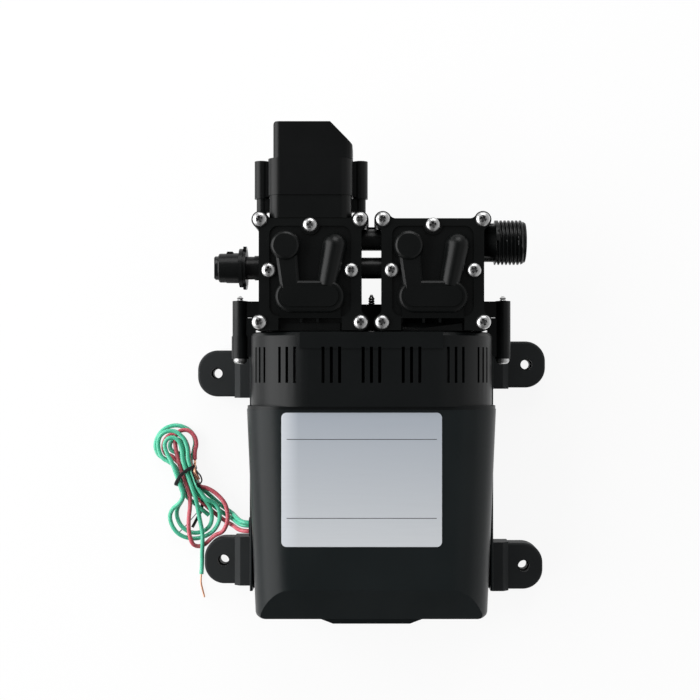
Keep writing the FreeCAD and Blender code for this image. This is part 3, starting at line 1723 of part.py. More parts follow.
# Two arcs that leave the first knot and reach the second along their headings
def two_arcs(knot, following):
    p0, t0 = knot
    p1, t1 = following
    gap = p1 - p0
    both = t0 + t1
    same = 2 * (1 - t0.dot(t1))
    along = gap.dot(both)
    if same < 1e-9:
        reach = gap.dot(gap) / (4 * gap.dot(t1))
    else:
        reach = (math.sqrt(along * along + same * gap.dot(gap)) - along) / same
    first, last = p0 + t0 * reach, p1 - t1 * reach
    joint = (first + last) * 0.5
    return [arc_between(p0, first, joint), arc_between(joint, last, p1)]


def smooth_path(knots):
    arcs = []
    for i in range(len(knots) - 1):
        arcs += two_arcs(knots[i], knots[i + 1])
    return [e for e, r in arcs], min(r for e, r in arcs)


# Straight runs joined by arcs, each as large as its two runs allow
def rounded_path(points):
    points = [Vec(*p) if isinstance(p, tuple) else p for p in points]
    edges = []
    radii = []
    at = points[0]
    for i in range(1, len(points) - 1):
        before, corner, after = points[i - 1], points[i], points[i + 1]
        back, on = before - corner, after - corner
        reach = 0.45 * min(back.Length, on.Length)
        start = corner + back * (reach / back.Length)
        end = corner + on * (reach / on.Length)
        arc, radius = arc_between(start, corner, end)
        edges.append(Part.LineSegment(at, start).toShape())
        edges.append(arc)
        radii.append(round(radius, 1))
        at = end
    edges.append(Part.LineSegment(at, points[-1]).toShape())
    return edges, radii


def tube(edges, name):
    wire = Part.Wire(edges)
    first = edges[0]
    start = first.valueAt(first.FirstParameter)
    heading = first.tangentAt(first.FirstParameter)
    ring = Part.Wire([Part.makeCircle(wire_radius, start, heading)])
    shell = Part.BRepOffsetAPI.MakePipeShell(wire)
    shell.add(ring)
    shell.build()
    shell.makeSolid()
    solid = shell.shape()
    ideal = math.pi * wire_radius ** 2 * wire.Length
    print(name, "length", round(wire.Length, 1), "volume share", round(solid.Volume / ideal, 4))
    return solid


# Least clear space between stretches of one wire that lie apart along it
def own_gap(edges):
    samples = []
    along = 0.0
    for edge in edges:
        count = max(2, int(edge.Length / 0.8))
        for i in range(count):
            share = edge.FirstParameter + (edge.LastParameter - edge.FirstParameter) * i / count
            samples.append((along + edge.Length * i / count, edge.valueAt(share)))
        along += edge.Length
    least = 1e9
    for i in range(len(samples)):
        for j in range(i + 1, len(samples)):
            if samples[j][0] - samples[i][0] > 8:
                least = min(least, (samples[j][1] - samples[i][1]).Length)
    return least - 2 * wire_radius


def knot(u, v, z, angle):
    return (hank_point(u, v, z), hank_heading(angle))


def waist_run(u, layer, angle):
    ends = [-waist_half, waist_half] if angle > 0 else [waist_half, -waist_half]
    return [knot(u, v, waist_level(layer), angle) for v in ends]


# A loop above or below the tie, given by its widest places, its far end and their heights
def loop_knots(way, side_v, near, far, opposite):
    return [
        knot(near[0], side_v, near[1], 90 * way),
        knot(far[0], far[1], far[2], 0 if way > 0 else 180),
        knot(opposite[0], side_v, opposite[1], -90 * way),
    ]


def green_hank_knots():
    p = wire_pitch
    inner, outer = p / 2, 1.5 * p
    low, middle, high = floor_level(0), floor_level(1), floor_level(2)
    knots = waist_run(inner, 0, 90)
    knots.append(knot(0.1, 10.6, low + 0.1, 100))
    knots += loop_knots(1, 16.4, (-2.4, low), (0.1, 18.9, low), (2.6, low + 1.3))
    knots += waist_run(inner, 1, -90)
    knots += loop_knots(-1, -20.5, (6.2, middle + 0.5), (-2.6, -30.2, low), (-12.0, low))
    knots += waist_run(-outer, 1, 90)
    knots += loop_knots(1, 15.5, (-9.2, middle), (-1.8, 24.8, high), (5.7, high + 0.3))
    knots += waist_run(outer, 2, -90)
    knots.append(knot(5.2, -12.0, high + 0.6, -74))
    knots += loop_knots(-1, -21.0, (10.2, middle + 0.9), (-2.6, -33.0, low), (-15.4, middle))
    knots += waist_run(-outer, 2, 90)
    knots += loop_knots(1, 14.8, (-5.3, high), (-1.4, 21.2, high), (2.7, high))
    knots += waist_run(inner, 2, -90)
    return knots


def red_hank_knots():
    p = wire_pitch
    inner, outer = p / 2, 1.5 * p
    low, middle = floor_level(0), floor_level(1)
    knots = waist_run(-inner, 0, 90)
    knots.append(knot(-3.6, 10.6, low + 0.1, 111))
    knots += loop_knots(1, 15.5, (-7.2, low), (-0.6, 22.6, low), (5.2, low + 0.7))
    knots += waist_run(outer, 1, -90)
    knots.append(knot(9.6, -11.0, 4.8, -50))
    knots.append(knot(14.4, -23.0, 5.8, -94))
    knots.append(knot(12.2, -29.6, 5.4, -122))
    knots.append(knot(6.0, -33.8, 4.2, 180))
    knots.append(knot(-0.2, -35.7, 2.7, -154))
    knots.append(knot(-4.6, -37.0, low + 0.2, 178))
    knots.append(knot(-8.6, -31.6, middle + 0.6, 82))
    knots += waist_run(-inner, 1, 90)
    knots.append(knot(-1.0, 12.0, middle + 0.2, 84))
    knots.append(knot(5.4, 22.8, middle + 0.15, 0))
    knots.append(knot(10.6, 15.6, middle, -95))
    knots.append(knot(7.5, 8.2, middle + 0.7, -105))
    knots.append(knot(7.0, 6.4, middle + 0.7, -105))
    return knots


def hank(knots, name):
    edges, radius = smooth_path(knots)
    print(name, "least radius", round(radius, 2), "least gap to itself", round(own_gap(edges), 3))
    return tube(edges, name)


# The last two places of a lead, which turns into its slot under the tie
def waist_entry(slot):
    turn = waist_half + 3.35 - slot * 0.287
    return [hank_point(slot, -turn, waist_level(0)), hank_point(slot, -waist_half, waist_level(0))]


def lead(route, slot, name):
    edges, radii = rounded_path(route + waist_entry(slot))
    print(name, "radii", radii)
    return tube(edges, name)


def green_tail():
    start = hank_point(wire_pitch / 2, -waist_half, waist_level(2))
    after = hank_point(wire_pitch / 2, -waist_half - 4, waist_level(2))
    edges, radii = rounded_path([start, after] + tail_route)
    print("green_tail", "radii", radii)
    return tube(edges, "green_tail")


# The second green wire makes one loop above the tie and comes back out to its cut end
def green_lead_b():
    p = wire_pitch
    outer = 1.5 * p
    edges, radii = rounded_path(green_route_b + waist_entry(outer))
    print("green_lead_b", "radii", radii)
    knots = waist_run(outer, 0, 90)
    knots.append(knot(7.2, 10.6, floor_z + 0.1, 60))
    knots.append(knot(9.9, 16.5, floor_z, 90))
    knots.append(knot(-0.6, 26.8, floor_z, 180))
    knots.append(knot(-10.9, 16.5, floor_z, -90))
    knots.append(knot(-7.4, 10.6, floor_z + 0.2, -58))
    knots += waist_run(-outer, 0, -90)
    knots.append(knot(-outer, -8.6, floor_z + 0.5, -90))
    knots.append(knot(-2.8, -12.4, floor_z + 0.2, -58))
    knots.append(knot(4.0, -23.4, floor_z, -58))
    loop, radius = smooth_path(knots)
    print("green_lead_b", "least radius", round(radius, 2), "least gap to itself", round(own_gap(loop), 3))
    return tube(edges + loop, "green_lead_b")


def wire_tie():
    half = 1.5 * wire_pitch + wire_radius + tie_gap
    low = waist_level(0) - wire_radius - tie_gap
    high = waist_level(2) + wire_radius + tie_gap
    place = lambda u, z: hank_point(u, -tie_width / 2, z)
    along = hank_heading(90) * tie_width
    inner = [(-half, low, 0.9), (half, low, 0.9), (half, high, 0.9), (-half, high, 0.9)]
    t = tie_thickness
    outer = [
        (-half - t, low - t, 1.8),
        (half + t, low - t, 1.8),
        (half + t, high + t, 1.8),
        (-half - t, high + t, 1.8),
    ]
    band = prism(outer, place, along).cut(prism(inner, place, along))
    head = [
        (half + 0.5, low + 2, 0.6),
        (half + 3.4, low + 2, 0.6),
        (half + 3.4, low + 6.4, 0.6),
        (half + 0.5, low + 6.4, 0.6),
    ]
    return band.fuse(prism(head, place, along)).removeSplitter()


def build():
    left, right = heads["left"], heads["right"]
    nodes = {
        "motor_cover": motor_cover(),
        "vent_collar": vent_collar(),
        "base_tray": base_tray(),
        "rating_label": rating_label(),
        "crank_housing": crank_housing(),
        "front_bearings": front_bearings(),
        "left_valve_body": left_valve_body(),
        "right_valve_body": right_valve_body(),
        "left_head_cover": head_cover(left),
        "right_head_cover": head_cover(right),
        "cover_gaskets": cover_gaskets(),
        "umbrella_valves": umbrella_valves(),
        "head_screws": head_screws(),
        "boss_screws": boss_screws(),
        "base_screws": base_screws(),
        "suction_link": link(suction_y),
        "discharge_link": link(discharge_y),
        "port_rings": port_rings(),
        "inlet_connector": inlet_connector(),
        "retaining_clip": retaining_clip(),
        "transit_plug": transit_plug(),
        "switch_body": switch_body(),
        "switch_cap": switch_cap(),
        "switch_diaphragm": switch_diaphragm(),
        "switch_plunger": switch_plunger(),
        "switch_spring": switch_spring(),
        "switch_button": switch_button(),
        "switch_screws": switch_screws(),
        "micro_switch": micro_switch(),
        "motor_magnets": motor_magnets(),
        "brush_caps": brush_caps(),
        "carbon_brushes": carbon_brushes(),
        "wire_grommet": wire_grommet(),
        "wire_tie": wire_tie(),
        "green_lead_a": lead(green_route_a, wire_pitch / 2, "green_lead_a"),
        "green_lead_b": green_lead_b(),
        "red_lead": lead(red_route, -wire_pitch / 2, "red_lead"),
        "green_hank": hank(green_hank_knots(), "green_hank"),
        "red_hank": hank(red_hank_knots(), "red_hank"),
        "green_tail": green_tail(),
    }
    for name, x in heads.items():
        nodes[name + "_motor_can"] = motor_can(x)
        nodes[name + "_shaft"] = motor_shaft(x)
        nodes[name + "_armature"] = armature(x)
        nodes[name + "_commutator"] = commutator(x)
        nodes[name + "_eccentric"] = eccentric(x)
        nodes[name + "_rod"] = connecting_rod(x)
        nodes[name + "_rod_bearing"] = rod_bearing(x)
        nodes[name + "_diaphragm"] = diaphragm(x)
    for name, (side, y, reach) in foot_places.items():
        nodes[name] = rubber_foot(side, y, reach)
    return nodes


def export(nodes):
    os.makedirs("parts", exist_ok=True)
    for name, shape in nodes.items():
        if not shape.isValid():
            raise SystemExit(name + " is not valid")
        shape.exportStep("parts/" + name + ".step")
        print(name, len(shape.Solids), "solids", round(shape.Volume, 1), "mm3")


export(build())
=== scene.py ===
import math

import bmesh
import bpy
from mathutils import Matrix, Vector
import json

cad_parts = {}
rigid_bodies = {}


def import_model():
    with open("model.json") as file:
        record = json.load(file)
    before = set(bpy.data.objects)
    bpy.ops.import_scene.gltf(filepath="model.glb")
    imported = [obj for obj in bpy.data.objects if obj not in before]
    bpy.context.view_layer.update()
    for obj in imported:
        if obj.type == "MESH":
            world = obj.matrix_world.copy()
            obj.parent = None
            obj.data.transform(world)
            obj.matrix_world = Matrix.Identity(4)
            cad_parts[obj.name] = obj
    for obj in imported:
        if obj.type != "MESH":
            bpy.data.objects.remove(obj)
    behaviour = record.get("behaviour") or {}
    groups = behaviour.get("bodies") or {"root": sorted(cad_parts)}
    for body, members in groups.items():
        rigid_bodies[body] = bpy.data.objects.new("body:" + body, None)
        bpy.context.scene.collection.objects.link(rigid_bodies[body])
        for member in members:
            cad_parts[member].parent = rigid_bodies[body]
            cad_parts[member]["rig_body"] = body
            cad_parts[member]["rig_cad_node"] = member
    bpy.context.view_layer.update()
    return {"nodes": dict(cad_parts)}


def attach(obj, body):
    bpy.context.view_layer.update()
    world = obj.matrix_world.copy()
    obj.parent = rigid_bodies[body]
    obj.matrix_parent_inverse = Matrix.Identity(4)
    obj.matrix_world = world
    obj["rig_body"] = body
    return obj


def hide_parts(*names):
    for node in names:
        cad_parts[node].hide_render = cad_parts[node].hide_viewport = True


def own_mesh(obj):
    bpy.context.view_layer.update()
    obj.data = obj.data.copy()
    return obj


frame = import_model()
nodes = frame["nodes"]
mm = 0.001
facingEnough = 0.9  # How far up or down a face looks, from 0 to 1, to be picked
print("frame loaded with", len(nodes), "nodes")


# Picking and shaping, as by hand

def deselectAll():
    bpy.ops.object.select_all(action="DESELECT")


def choose(piece):
    deselectAll()
    piece.select_set(True)
    bpy.context.view_layer.objects.active = piece


def pickFacing(piece, way):
    # Edit mode with only the faces selected that look up, or down where way is -1
    bpy.ops.object.mode_set(mode="EDIT")
    bpy.ops.mesh.select_mode(type="FACE")
    mesh = bmesh.from_edit_mesh(piece.data)
    for face in mesh.faces:
        face.select_set(face.normal.z * way > facingEnough)
    bmesh.update_edit_mesh(piece.data)


def enterEdit(piece, kind, action):
    # Edit mode by corners or edges, with everything selected or nothing
    choose(piece)
    bpy.ops.object.mode_set(mode="EDIT")
    bpy.ops.mesh.select_mode(type=kind)
    bpy.ops.mesh.select_all(action=action)


def leaveEdit():
    bpy.ops.object.mode_set(mode="OBJECT")


def cutWith(piece, cutter):
    # The new faces keep the cutter's own finish where it has one
    choose(piece)
    knife = piece.modifiers.new("cut", "BOOLEAN")
    knife.object = cutter
    knife.operation = "DIFFERENCE"
    knife.solver = "EXACT"
    knife.material_mode = "TRANSFER"
    bpy.ops.object.modifier_apply(modifier=knife.name)
    bpy.data.objects.remove(cutter)


def windUp(outline, axis, turns, rise, stepsPerTurn):
    # An outline wound round an axis through the origin, as a thread or a spring
    winding = outline.modifiers.new("wind", "SCREW")
    winding.axis = axis
    winding.angle = math.radians(360 * turns)
    winding.screw_offset = rise
    winding.steps = winding.render_steps = int(stepsPerTurn * turns)
    choose(outline)
    bpy.ops.object.modifier_apply(modifier=winding.name)


def smoothBy(piece, degrees):
    choose(piece)
    bpy.ops.object.shade_smooth_by_angle(angle=math.radians(degrees))


def copyTo(model, name, place, facing, roll):
    # A copy with its own mesh, whose +Z end points along facing
    copy = model.copy()
    copy.data = model.data.copy()
    copy.name = name
    bpy.context.scene.collection.objects.link(copy)
    turn = Vector((0, 0, 1)).rotation_difference(Vector(facing)).to_matrix().to_4x4()
    spin = Matrix.Rotation(math.radians(roll), 4, "Z")
    copy.data.transform(Matrix.Translation(Vector(place)) @ turn @ spin)
    return copy


# Shader maths written as plain sums

class Reading:
    def __init__(self, paint, socket):
        self.paint = paint
        self.socket = socket

    def __add__(self, other):
        return self.paint.maths("ADD", self, other)

    def __radd__(self, other):
        return self.paint.maths("ADD", other, self)

    def __sub__(self, other):
        return self.paint.maths("SUBTRACT", self, other)

    def __rsub__(self, other):
        return self.paint.maths("SUBTRACT", other, self)

    def __mul__(self, other):
        return self.paint.maths("MULTIPLY", self, other)

    def __rmul__(self, other):
        return self.paint.maths("MULTIPLY", other, self)

    def __lt__(self, other):
        return self.paint.maths("LESS_THAN", self, other)

    def __gt__(self, other):
        return self.paint.maths("GREATER_THAN", self, other)

    def __abs__(self):
        return self.paint.maths("ABSOLUTE", self)


class Paint:
    # The nodes of one material, or of the world
    def __init__(self, owner):
        owner.use_nodes = True
        self.owner = owner
        self.tree = owner.node_tree
        self.shader = self.tree.nodes.get("Principled BSDF")

    def feed(self, socket, value):
        if isinstance(value, Reading):
            self.tree.links.new(value.socket, socket)
        else:
            socket.default_value = value

    def node(self, kind, settings=None, inputs=None, output=0):
        made = self.tree.nodes.new(kind)
        for name, value in (settings or {}).items():
            if name == "stops":
                while len(made.color_ramp.elements) < len(value):
                    made.color_ramp.elements.new(0.5)
                for stop, (place, colour) in zip(made.color_ramp.elements, value):
                    stop.position = place
                    stop.color = colour
            else:
                setattr(made, name, value)
        for name, value in (inputs or {}).items():
            self.feed(made.inputs[name], value)
        return Reading(self, made.outputs[output])

    def maths(self, operation, first, second=0.0):
        return self.node("ShaderNodeMath", {"operation": operation}, {0: first, 1: second})

    def place(self, stretch=(1, 1, 1)):
        here = self.node("ShaderNodeTexCoord", output="Object")
        return self.node("ShaderNodeMapping", inputs={"Vector": here, "Scale": stretch})

    def noise(self, scale, detail, place=None):
        sockets = {"Vector": place or self.place(), "Scale": scale, "Detail": detail}
        return self.node("ShaderNodeTexNoise", inputs=sockets)

    def wave(self, shape, scale, warp):
        sockets = {"Vector": self.place(), "Scale": scale, "Distortion": warp}
        return self.node("ShaderNodeTexWave", shape, sockets)

    def axis(self, letter):
        here = self.node("ShaderNodeTexCoord", output="Object")
        return self.node("ShaderNodeSeparateXYZ", inputs={"Vector": here}, output=letter)

    def blendColour(self, share, first, second):
        sockets = {"Factor": share, 6: first, 7: second}  # 6 and 7 are the node's two colours
        return self.node("ShaderNodeMix", {"data_type": "RGBA"}, sockets, 2)

    def bump(self, height, look):
        sockets = {"Height": height, "Strength": look["raise"], "Distance": look["depth"] * mm}
        return self.node("ShaderNodeBump", inputs=sockets)

    def finish(self, **sockets):
        for name, value in sockets.items():
            self.feed(self.shader.inputs[name.replace("_", " ")], value)
        return self.owner


def newPaint(name):
    return Paint(bpy.data.materials.new(name))


def shade(red, green, blue):
    return (red, green, blue, 1.0)


def around(base, *swings):
    # A base value that each reading moves up and down by half its width
    for reading, spread in swings:
        base = base + (reading - 0.5) * spread
    return base


# Moulded plastics: a faint cloud in the gloss, and the spark-eroded grain of the mould
mouldings = {
    "coverPlastic": {
        "dark": (0.0062, 0.0084, 0.0090), "light": (0.0098, 0.0128, 0.0136), "rough": 0.34,
        "spread": 0.08, "shine": 0.17, "grain": 2600, "raise": 0.30,
    },
    "collarPlastic": {
        "dark": (0.0026, 0.0034, 0.0036), "light": (0.0044, 0.0054, 0.0057), "rough": 0.36,
        "spread": 0.08, "shine": 0.20, "grain": 2600, "raise": 0.30,
    },
    "headPlastic": {
        "dark": (0.0016, 0.0020, 0.0020), "light": (0.0030, 0.0036, 0.0036), "rough": 0.33,
        "spread": 0.10, "shine": 0.22, "grain": 1800, "raise": 0.22,
    },
    "switchPlastic": {
        "dark": (0.0014, 0.0017, 0.0018), "light": (0.0026, 0.0030, 0.0032), "rough": 0.34,
        "spread": 0.08, "shine": 0.22, "grain": 2200, "raise": 0.25,
    },
    "plugPlastic": {
        "dark": (0.0060, 0.0065, 0.0070), "light": (0.0090, 0.0096, 0.0104), "rough": 0.24,
        "spread": 0.06, "shine": 0.3, "grain": 900, "raise": 0.06,
    },
    "microCase": {
        "dark": (0.010, 0.010, 0.010), "light": (0.016, 0.016, 0.016), "rough": 0.5, "spread": 0.06,
        "shine": 0.4, "grain": 2600, "raise": 0.2,
    },
    "buttonPlastic": {
        "dark": (0.34, 0.03, 0.02), "light": (0.42, 0.045, 0.03), "rough": 0.42, "spread": 0.06,
        "shine": 0.5, "grain": 2600, "raise": 0.1,
    },
    "brushCapPlastic": {
        "dark": (0.045, 0.03, 0.02), "light": (0.07, 0.048, 0.032), "rough": 0.48, "spread": 0.1,
        "shine": 0.4, "grain": 1500, "raise": 0.2,
    },
    "rodPlastic": {
        "dark": (0.42, 0.41, 0.36), "light": (0.52, 0.51, 0.46), "rough": 0.42, "spread": 0.08,
        "shine": 0.5, "grain": 1500, "raise": 0.12,
    },
    "tiePlastic": {
        "dark": (0.008, 0.008, 0.009), "light": (0.014, 0.014, 0.015), "rough": 0.46,
        "spread": 0.08, "shine": 0.3, "grain": 2500, "raise": 0.1,
    },
}
mouldSkin = {"cloud": 34, "grainGloss": 0.08, "depth": 0.06}


def mouldedPlastic(name):
    look = {**mouldSkin, **mouldings[name]}
    paint = newPaint(name)
    cloud = paint.noise(look["cloud"], detail=3)
    grain = paint.noise(look["grain"], detail=2)
    tone = paint.blendColour(cloud, shade(*look["dark"]), shade(*look["light"]))
    rough = around(look["rough"], (cloud, look["spread"]), (grain, look["grainGloss"]))
    paint.shader.inputs["Specular IOR Level"].default_value = look["shine"]
    return paint.finish(Base_Color=tone, Roughness=rough, Normal=paint.bump(grain, look))


# Rubbers: dull, with a dusty bloom and fine pores
rubbers = {
    "footRubber": {
        "dark": (0.0085, 0.0100, 0.0108), "bloom": (0.0165, 0.0190, 0.0200), "rough": 0.60,
    },
    "sealRubber": {"dark": (0.006, 0.006, 0.007), "bloom": (0.014, 0.014, 0.015), "rough": 0.56},
}
rubberSkin = {
    "dust": 55, "dustGloss": 0.16, "pores": 1700, "poreGloss": 0.08,
    "shine": 0.25, "raise": 0.35, "depth": 0.08,
}


def rubber(name):
    look = {**rubberSkin, **rubbers[name]}
    paint = newPaint(name)
    dust = paint.noise(look["dust"], detail=5)
    pores = paint.noise(look["pores"], detail=3)
    tone = paint.blendColour(dust, shade(*look["dark"]), shade(*look["bloom"]))
    rough = around(look["rough"], (dust, look["dustGloss"]), (pores, look["poreGloss"]))
    paint.shader.inputs["Specular IOR Level"].default_value = look["shine"]
    return paint.finish(Base_Color=tone, Roughness=rough, Normal=paint.bump(pores, look))


# Metals: a tint, a gloss and the direction of their scratches
metals = {
    "zincScrew": {
        "tint": (0.74, 0.74, 0.73), "stainAndShade": (0.34, 0.34, 0.35), "patch": 620, "rough": 0.33,
        "stretch": (1, 1, 1), "scratch": 900,
    },
    "canSteel": {
        "tint": (0.060, 0.062, 0.064), "stainAndShade": (0.035, 0.036, 0.038), "rough": 0.42,
        "stretch": (1, 0.03, 1), "scratch": 1400,
    },
    "shaftSteel": {
        "tint": (0.66, 0.66, 0.67), "stainAndShade": (0.56, 0.56, 0.58), "rough": 0.22,
        "stretch": (0.2, 1, 0.2), "scratch": 2600,
    },
    "bearingSteel": {
        "tint": (0.70, 0.70, 0.71), "stainAndShade": (0.60, 0.60, 0.62), "rough": 0.18,
        "stretch": (0.2, 1, 0.2), "scratch": 2600,
    },
    "crankMetal": {
        "tint": (0.60, 0.60, 0.61), "stainAndShade": (0.47, 0.47, 0.48), "rough": 0.42,
        "stretch": (1, 1, 1), "scratch": 700,
    },
    # The cross recess walls: dark, mottled steel as painted shade in the recess
    "recessPaintedShade": {
        "tint": (0.42, 0.42, 0.42), "stainAndShade": (0.035, 0.035, 0.037), "patch": 1100, "rough": 0.42,
        "stretch": (1, 1, 1), "scratch": 900,
    },
    "copperEnd": {
        "tint": (0.80, 0.46, 0.31), "stainAndShade": (0.62, 0.31, 0.20), "rough": 0.32,
        "stretch": (1, 1, 1), "scratch": 3500,
    },
}
metalSkin = {"patch": 60, "stainGloss": 0.12, "scratchGloss": 0.16, "raise": 0.12, "depth": 0.03}


def metal(name):
    look = {**metalSkin, **metals[name]}
    paint = newPaint(name)
    stainAndShade = paint.noise(look["patch"], detail=4)
    scratch = paint.noise(look["scratch"], detail=2, place=paint.place(look["stretch"]))
    # Patches of a second colour: stains, and on the cross recess walls painted shade
    tone = paint.blendColour(stainAndShade, shade(*look["tint"]), shade(*look["stainAndShade"]))
    rough = around(look["rough"], (stainAndShade, look["stainGloss"]), (scratch, look["scratchGloss"]))
    raised = paint.bump(scratch, look)
    return paint.finish(Base_Color=tone, Metallic=1.0, Roughness=rough, Normal=raised)


# Silver film of the rating plate, printed with two thin rules and nothing else, in millimetres.
# Its colour holds painted light: painted shade at the top, painted light at the bottom,
# and a painted highlight along the left edge
ratingFilm = {
    "paintedShadeTop": (0.385, 0.425, 0.480), "paintedLightBottom": (0.635, 0.660, 0.685),
    # The edge colour is the painted highlight along the film's left edge
    "edge": (0.72, 0.755, 0.80), "grey": (0.44, 0.46, 0.50), "ink": (0.02, 0.021, 0.024),
    "left": -41.9, "paintedSheenWidth": 8.0, "low": -80.3, "height": 62.4,
    "ruleHeights": (-30.3, -67.0), "ruleHalfWidth": 0.16, "ruleLeft": -39.4, "ruleRight": 30.4,
    "streak": 900, "stretch": (0.06, 1, 1), "streakShare": 0.22,
    "metal": 0.12, "rough": 0.36, "spread": 0.14, "raise": 0.08, "depth": 0.02,
}


def labelFilm():
    look = ratingFilm
    paint = newPaint("labelFilm")
    streak = paint.noise(look["streak"], detail=3, place=paint.place(look["stretch"]))
    across, up = paint.axis("X"), paint.axis("Y")
    # Painted light: the film is painted darker at the top and lighter at the bottom
    paintedLightFall = (up - look["low"] * mm) * (1 / (look["height"] * mm))
    tone = paint.blendColour(paintedLightFall, shade(*look["paintedLightBottom"]), shade(*look["paintedShadeTop"]))
    # Painted highlight: a lighter band along the film's left edge, fading inward
    inward = (across - look["left"] * mm) * (1 / (look["paintedSheenWidth"] * mm))
    tone = paint.blendColour(inward, shade(*look["edge"]), tone)
    tone = paint.blendColour(streak * look["streakShare"], tone, shade(*look["grey"]))
    inside = (across > look["ruleLeft"] * mm) * (across < look["ruleRight"] * mm)
    upperRule, lowerRule = [
        abs(up - height * mm) < look["ruleHalfWidth"] * mm for height in look["ruleHeights"]
    ]
    tone = paint.blendColour((upperRule + lowerRule) * inside, tone, shade(*look["ink"]))
    rough = around(look["rough"], (streak, look["spread"]))
    raised = paint.bump(streak, look)
    return paint.finish(Base_Color=tone, Metallic=look["metal"], Roughness=rough, Normal=raised)


# Stacked iron sheets, with enamelled copper wound at both ends, in millimetres
armatureLook = {
    "iron": (0.16, 0.155, 0.15), "seam": (0.07, 0.065, 0.06),
    "enamel": (0.36, 0.12, 0.045), "glint": (0.52, 0.20, 0.08),
    "sheets": 160, "sheetWarp": 0.3, "wires": 260, "wireWarp": 1.2,
    "lowEnd": -60.2, "highEnd": -11.8, "metal": 0.8,
    "rough": 0.45, "woundGloss": 0.15, "sheetGloss": 0.05, "raise": 0.4, "depth": 0.12,
}


def armatureIron():
    look = armatureLook
    paint = newPaint("armatureIron")
    along = paint.axis("Y")
    rings = {"wave_type": "RINGS", "rings_direction": "Y"}
    sheets = paint.wave({"bands_direction": "Y"}, look["sheets"], look["sheetWarp"])
    wires = paint.wave(rings, look["wires"], look["wireWarp"])
    wound = (along < look["lowEnd"] * mm) + (along > look["highEnd"] * mm)
    iron = paint.blendColour(sheets, shade(*look["seam"]), shade(*look["iron"]))
    copper = paint.blendColour(wires, shade(*look["enamel"]), shade(*look["glint"]))
    tone = paint.blendColour(wound, iron, copper)
    height = sheets * (1 - wound) + wires * wound
    rough = around(look["rough"] - wound * look["woundGloss"], (sheets, look["sheetGloss"]))
    raised = paint.bump(height, look)
    return paint.finish(Base_Color=tone, Metallic=look["metal"], Roughness=rough, Normal=raised)


# Bright copper with the brushes' dull track round its middle, in millimetres
commutatorLook = {
    "copper": (0.78, 0.43, 0.27), "worn": (0.20, 0.11, 0.075),
    "trackMiddle": -74, "trackHalf": 4.6, "wear": 0.35, "wearSpread": 0.4,
    "scratch": 2400, "stretch": (0.05, 1, 0.05),
    "rough": 0.24, "spread": 0.2, "raise": 0.2, "depth": 0.04,
}


def commutatorCopper():
    look = commutatorLook
    paint = newPaint("commutatorCopper")
    scratch = paint.noise(look["scratch"], detail=2, place=paint.place(look["stretch"]))
    track = abs(paint.axis("Y") - look["trackMiddle"] * mm) < look["trackHalf"] * mm
    wear = track * (look["wear"] + scratch * look["wearSpread"])
    tone = paint.blendColour(wear, shade(*look["copper"]), shade(*look["worn"]))
    rough = look["rough"] + scratch * look["spread"]
    raised = paint.bump(scratch, look)
    return paint.finish(Base_Color=tone, Metallic=1.0, Roughness=rough, Normal=raised)


# Pressed powders: the magnets' ceramic with its chips, and the brushes' flaky carbon
powders = {
    "magnetFerrite": {
        "dark": (0.028, 0.028, 0.030), "light": (0.055, 0.055, 0.058), "metal": 0.25,
        "grit": 1300, "gritDetail": 5, "flake": 160, "flakeDetail": 4, "stretch": (1, 1, 1),
        "rough": 0.52, "spread": 0.2, "raise": 0.4, "depth": 0.08,
    },
    "brushCarbon": {
        "dark": (0.022, 0.022, 0.024), "light": (0.06, 0.06, 0.064), "metal": 0.4,
        "grit": 2200, "gritDetail": 3, "flake": 300, "flakeDetail": 3, "stretch": (1, 1, 0.3),
        "rough": 0.44, "spread": 0.2, "raise": 0.3, "depth": 0.05,
    },
}


def pressedPowder(name):
    look = powders[name]
    paint = newPaint(name)
    grit = paint.noise(look["grit"], look["gritDetail"])
    flake = paint.noise(look["flake"], look["flakeDetail"], paint.place(look["stretch"]))
    tone = paint.blendColour(flake, shade(*look["dark"]), shade(*look["light"]))
    rough = around(look["rough"], (grit, look["spread"]))
    raised = paint.bump(grit, look)
    return paint.finish(Base_Color=tone, Metallic=look["metal"], Roughness=rough, Normal=raised)


# Soft wire insulation: gloss with faint ripples from the drawing die and handling marks
insulations = {
    "greenWire": {"deep": (0.055, 0.48, 0.275), "full": (0.12, 0.60, 0.41)},
    "redWire": {"deep": (0.52, 0.070, 0.095), "full": (0.66, 0.145, 0.185)},
}
insulationSkin = {
    "patch": 120, "ripple": 1500, "rough": 0.32, "spread": 0.14, "raise": 0.12, "depth": 0.05,
    "underGlow": 0.12, "glowReach": 0.001,
}


def insulation(name):
    look = {**insulationSkin, **insulations[name]}
    paint = newPaint(name)
    patch = paint.noise(look["patch"], detail=3)
    ripple = paint.noise(look["ripple"], detail=2)
    tone = paint.blendColour(patch, shade(*look["deep"]), shade(*look["full"]))
    paint.shader.inputs["Subsurface Weight"].default_value = look["underGlow"]
    paint.shader.inputs["Subsurface Radius"].default_value = [look["glowReach"]] * 3
    rough = around(look["rough"], (patch, look["spread"]))
    return paint.finish(Base_Color=tone, Roughness=rough, Normal=paint.bump(ripple, look))


finishes = {name: mouldedPlastic(name) for name in mouldings}
finishes.update({name: rubber(name) for name in rubbers})
finishes.update({name: metal(name) for name in metals})
finishes.update({name: insulation(name) for name in insulations})
finishes.update({name: pressedPowder(name) for name in powders})
finishes["labelFilm"] = labelFilm()
finishes["armatureIron"] = armatureIron()
finishes["commutatorCopper"] = commutatorCopper()
print("materials made:", len(finishes))

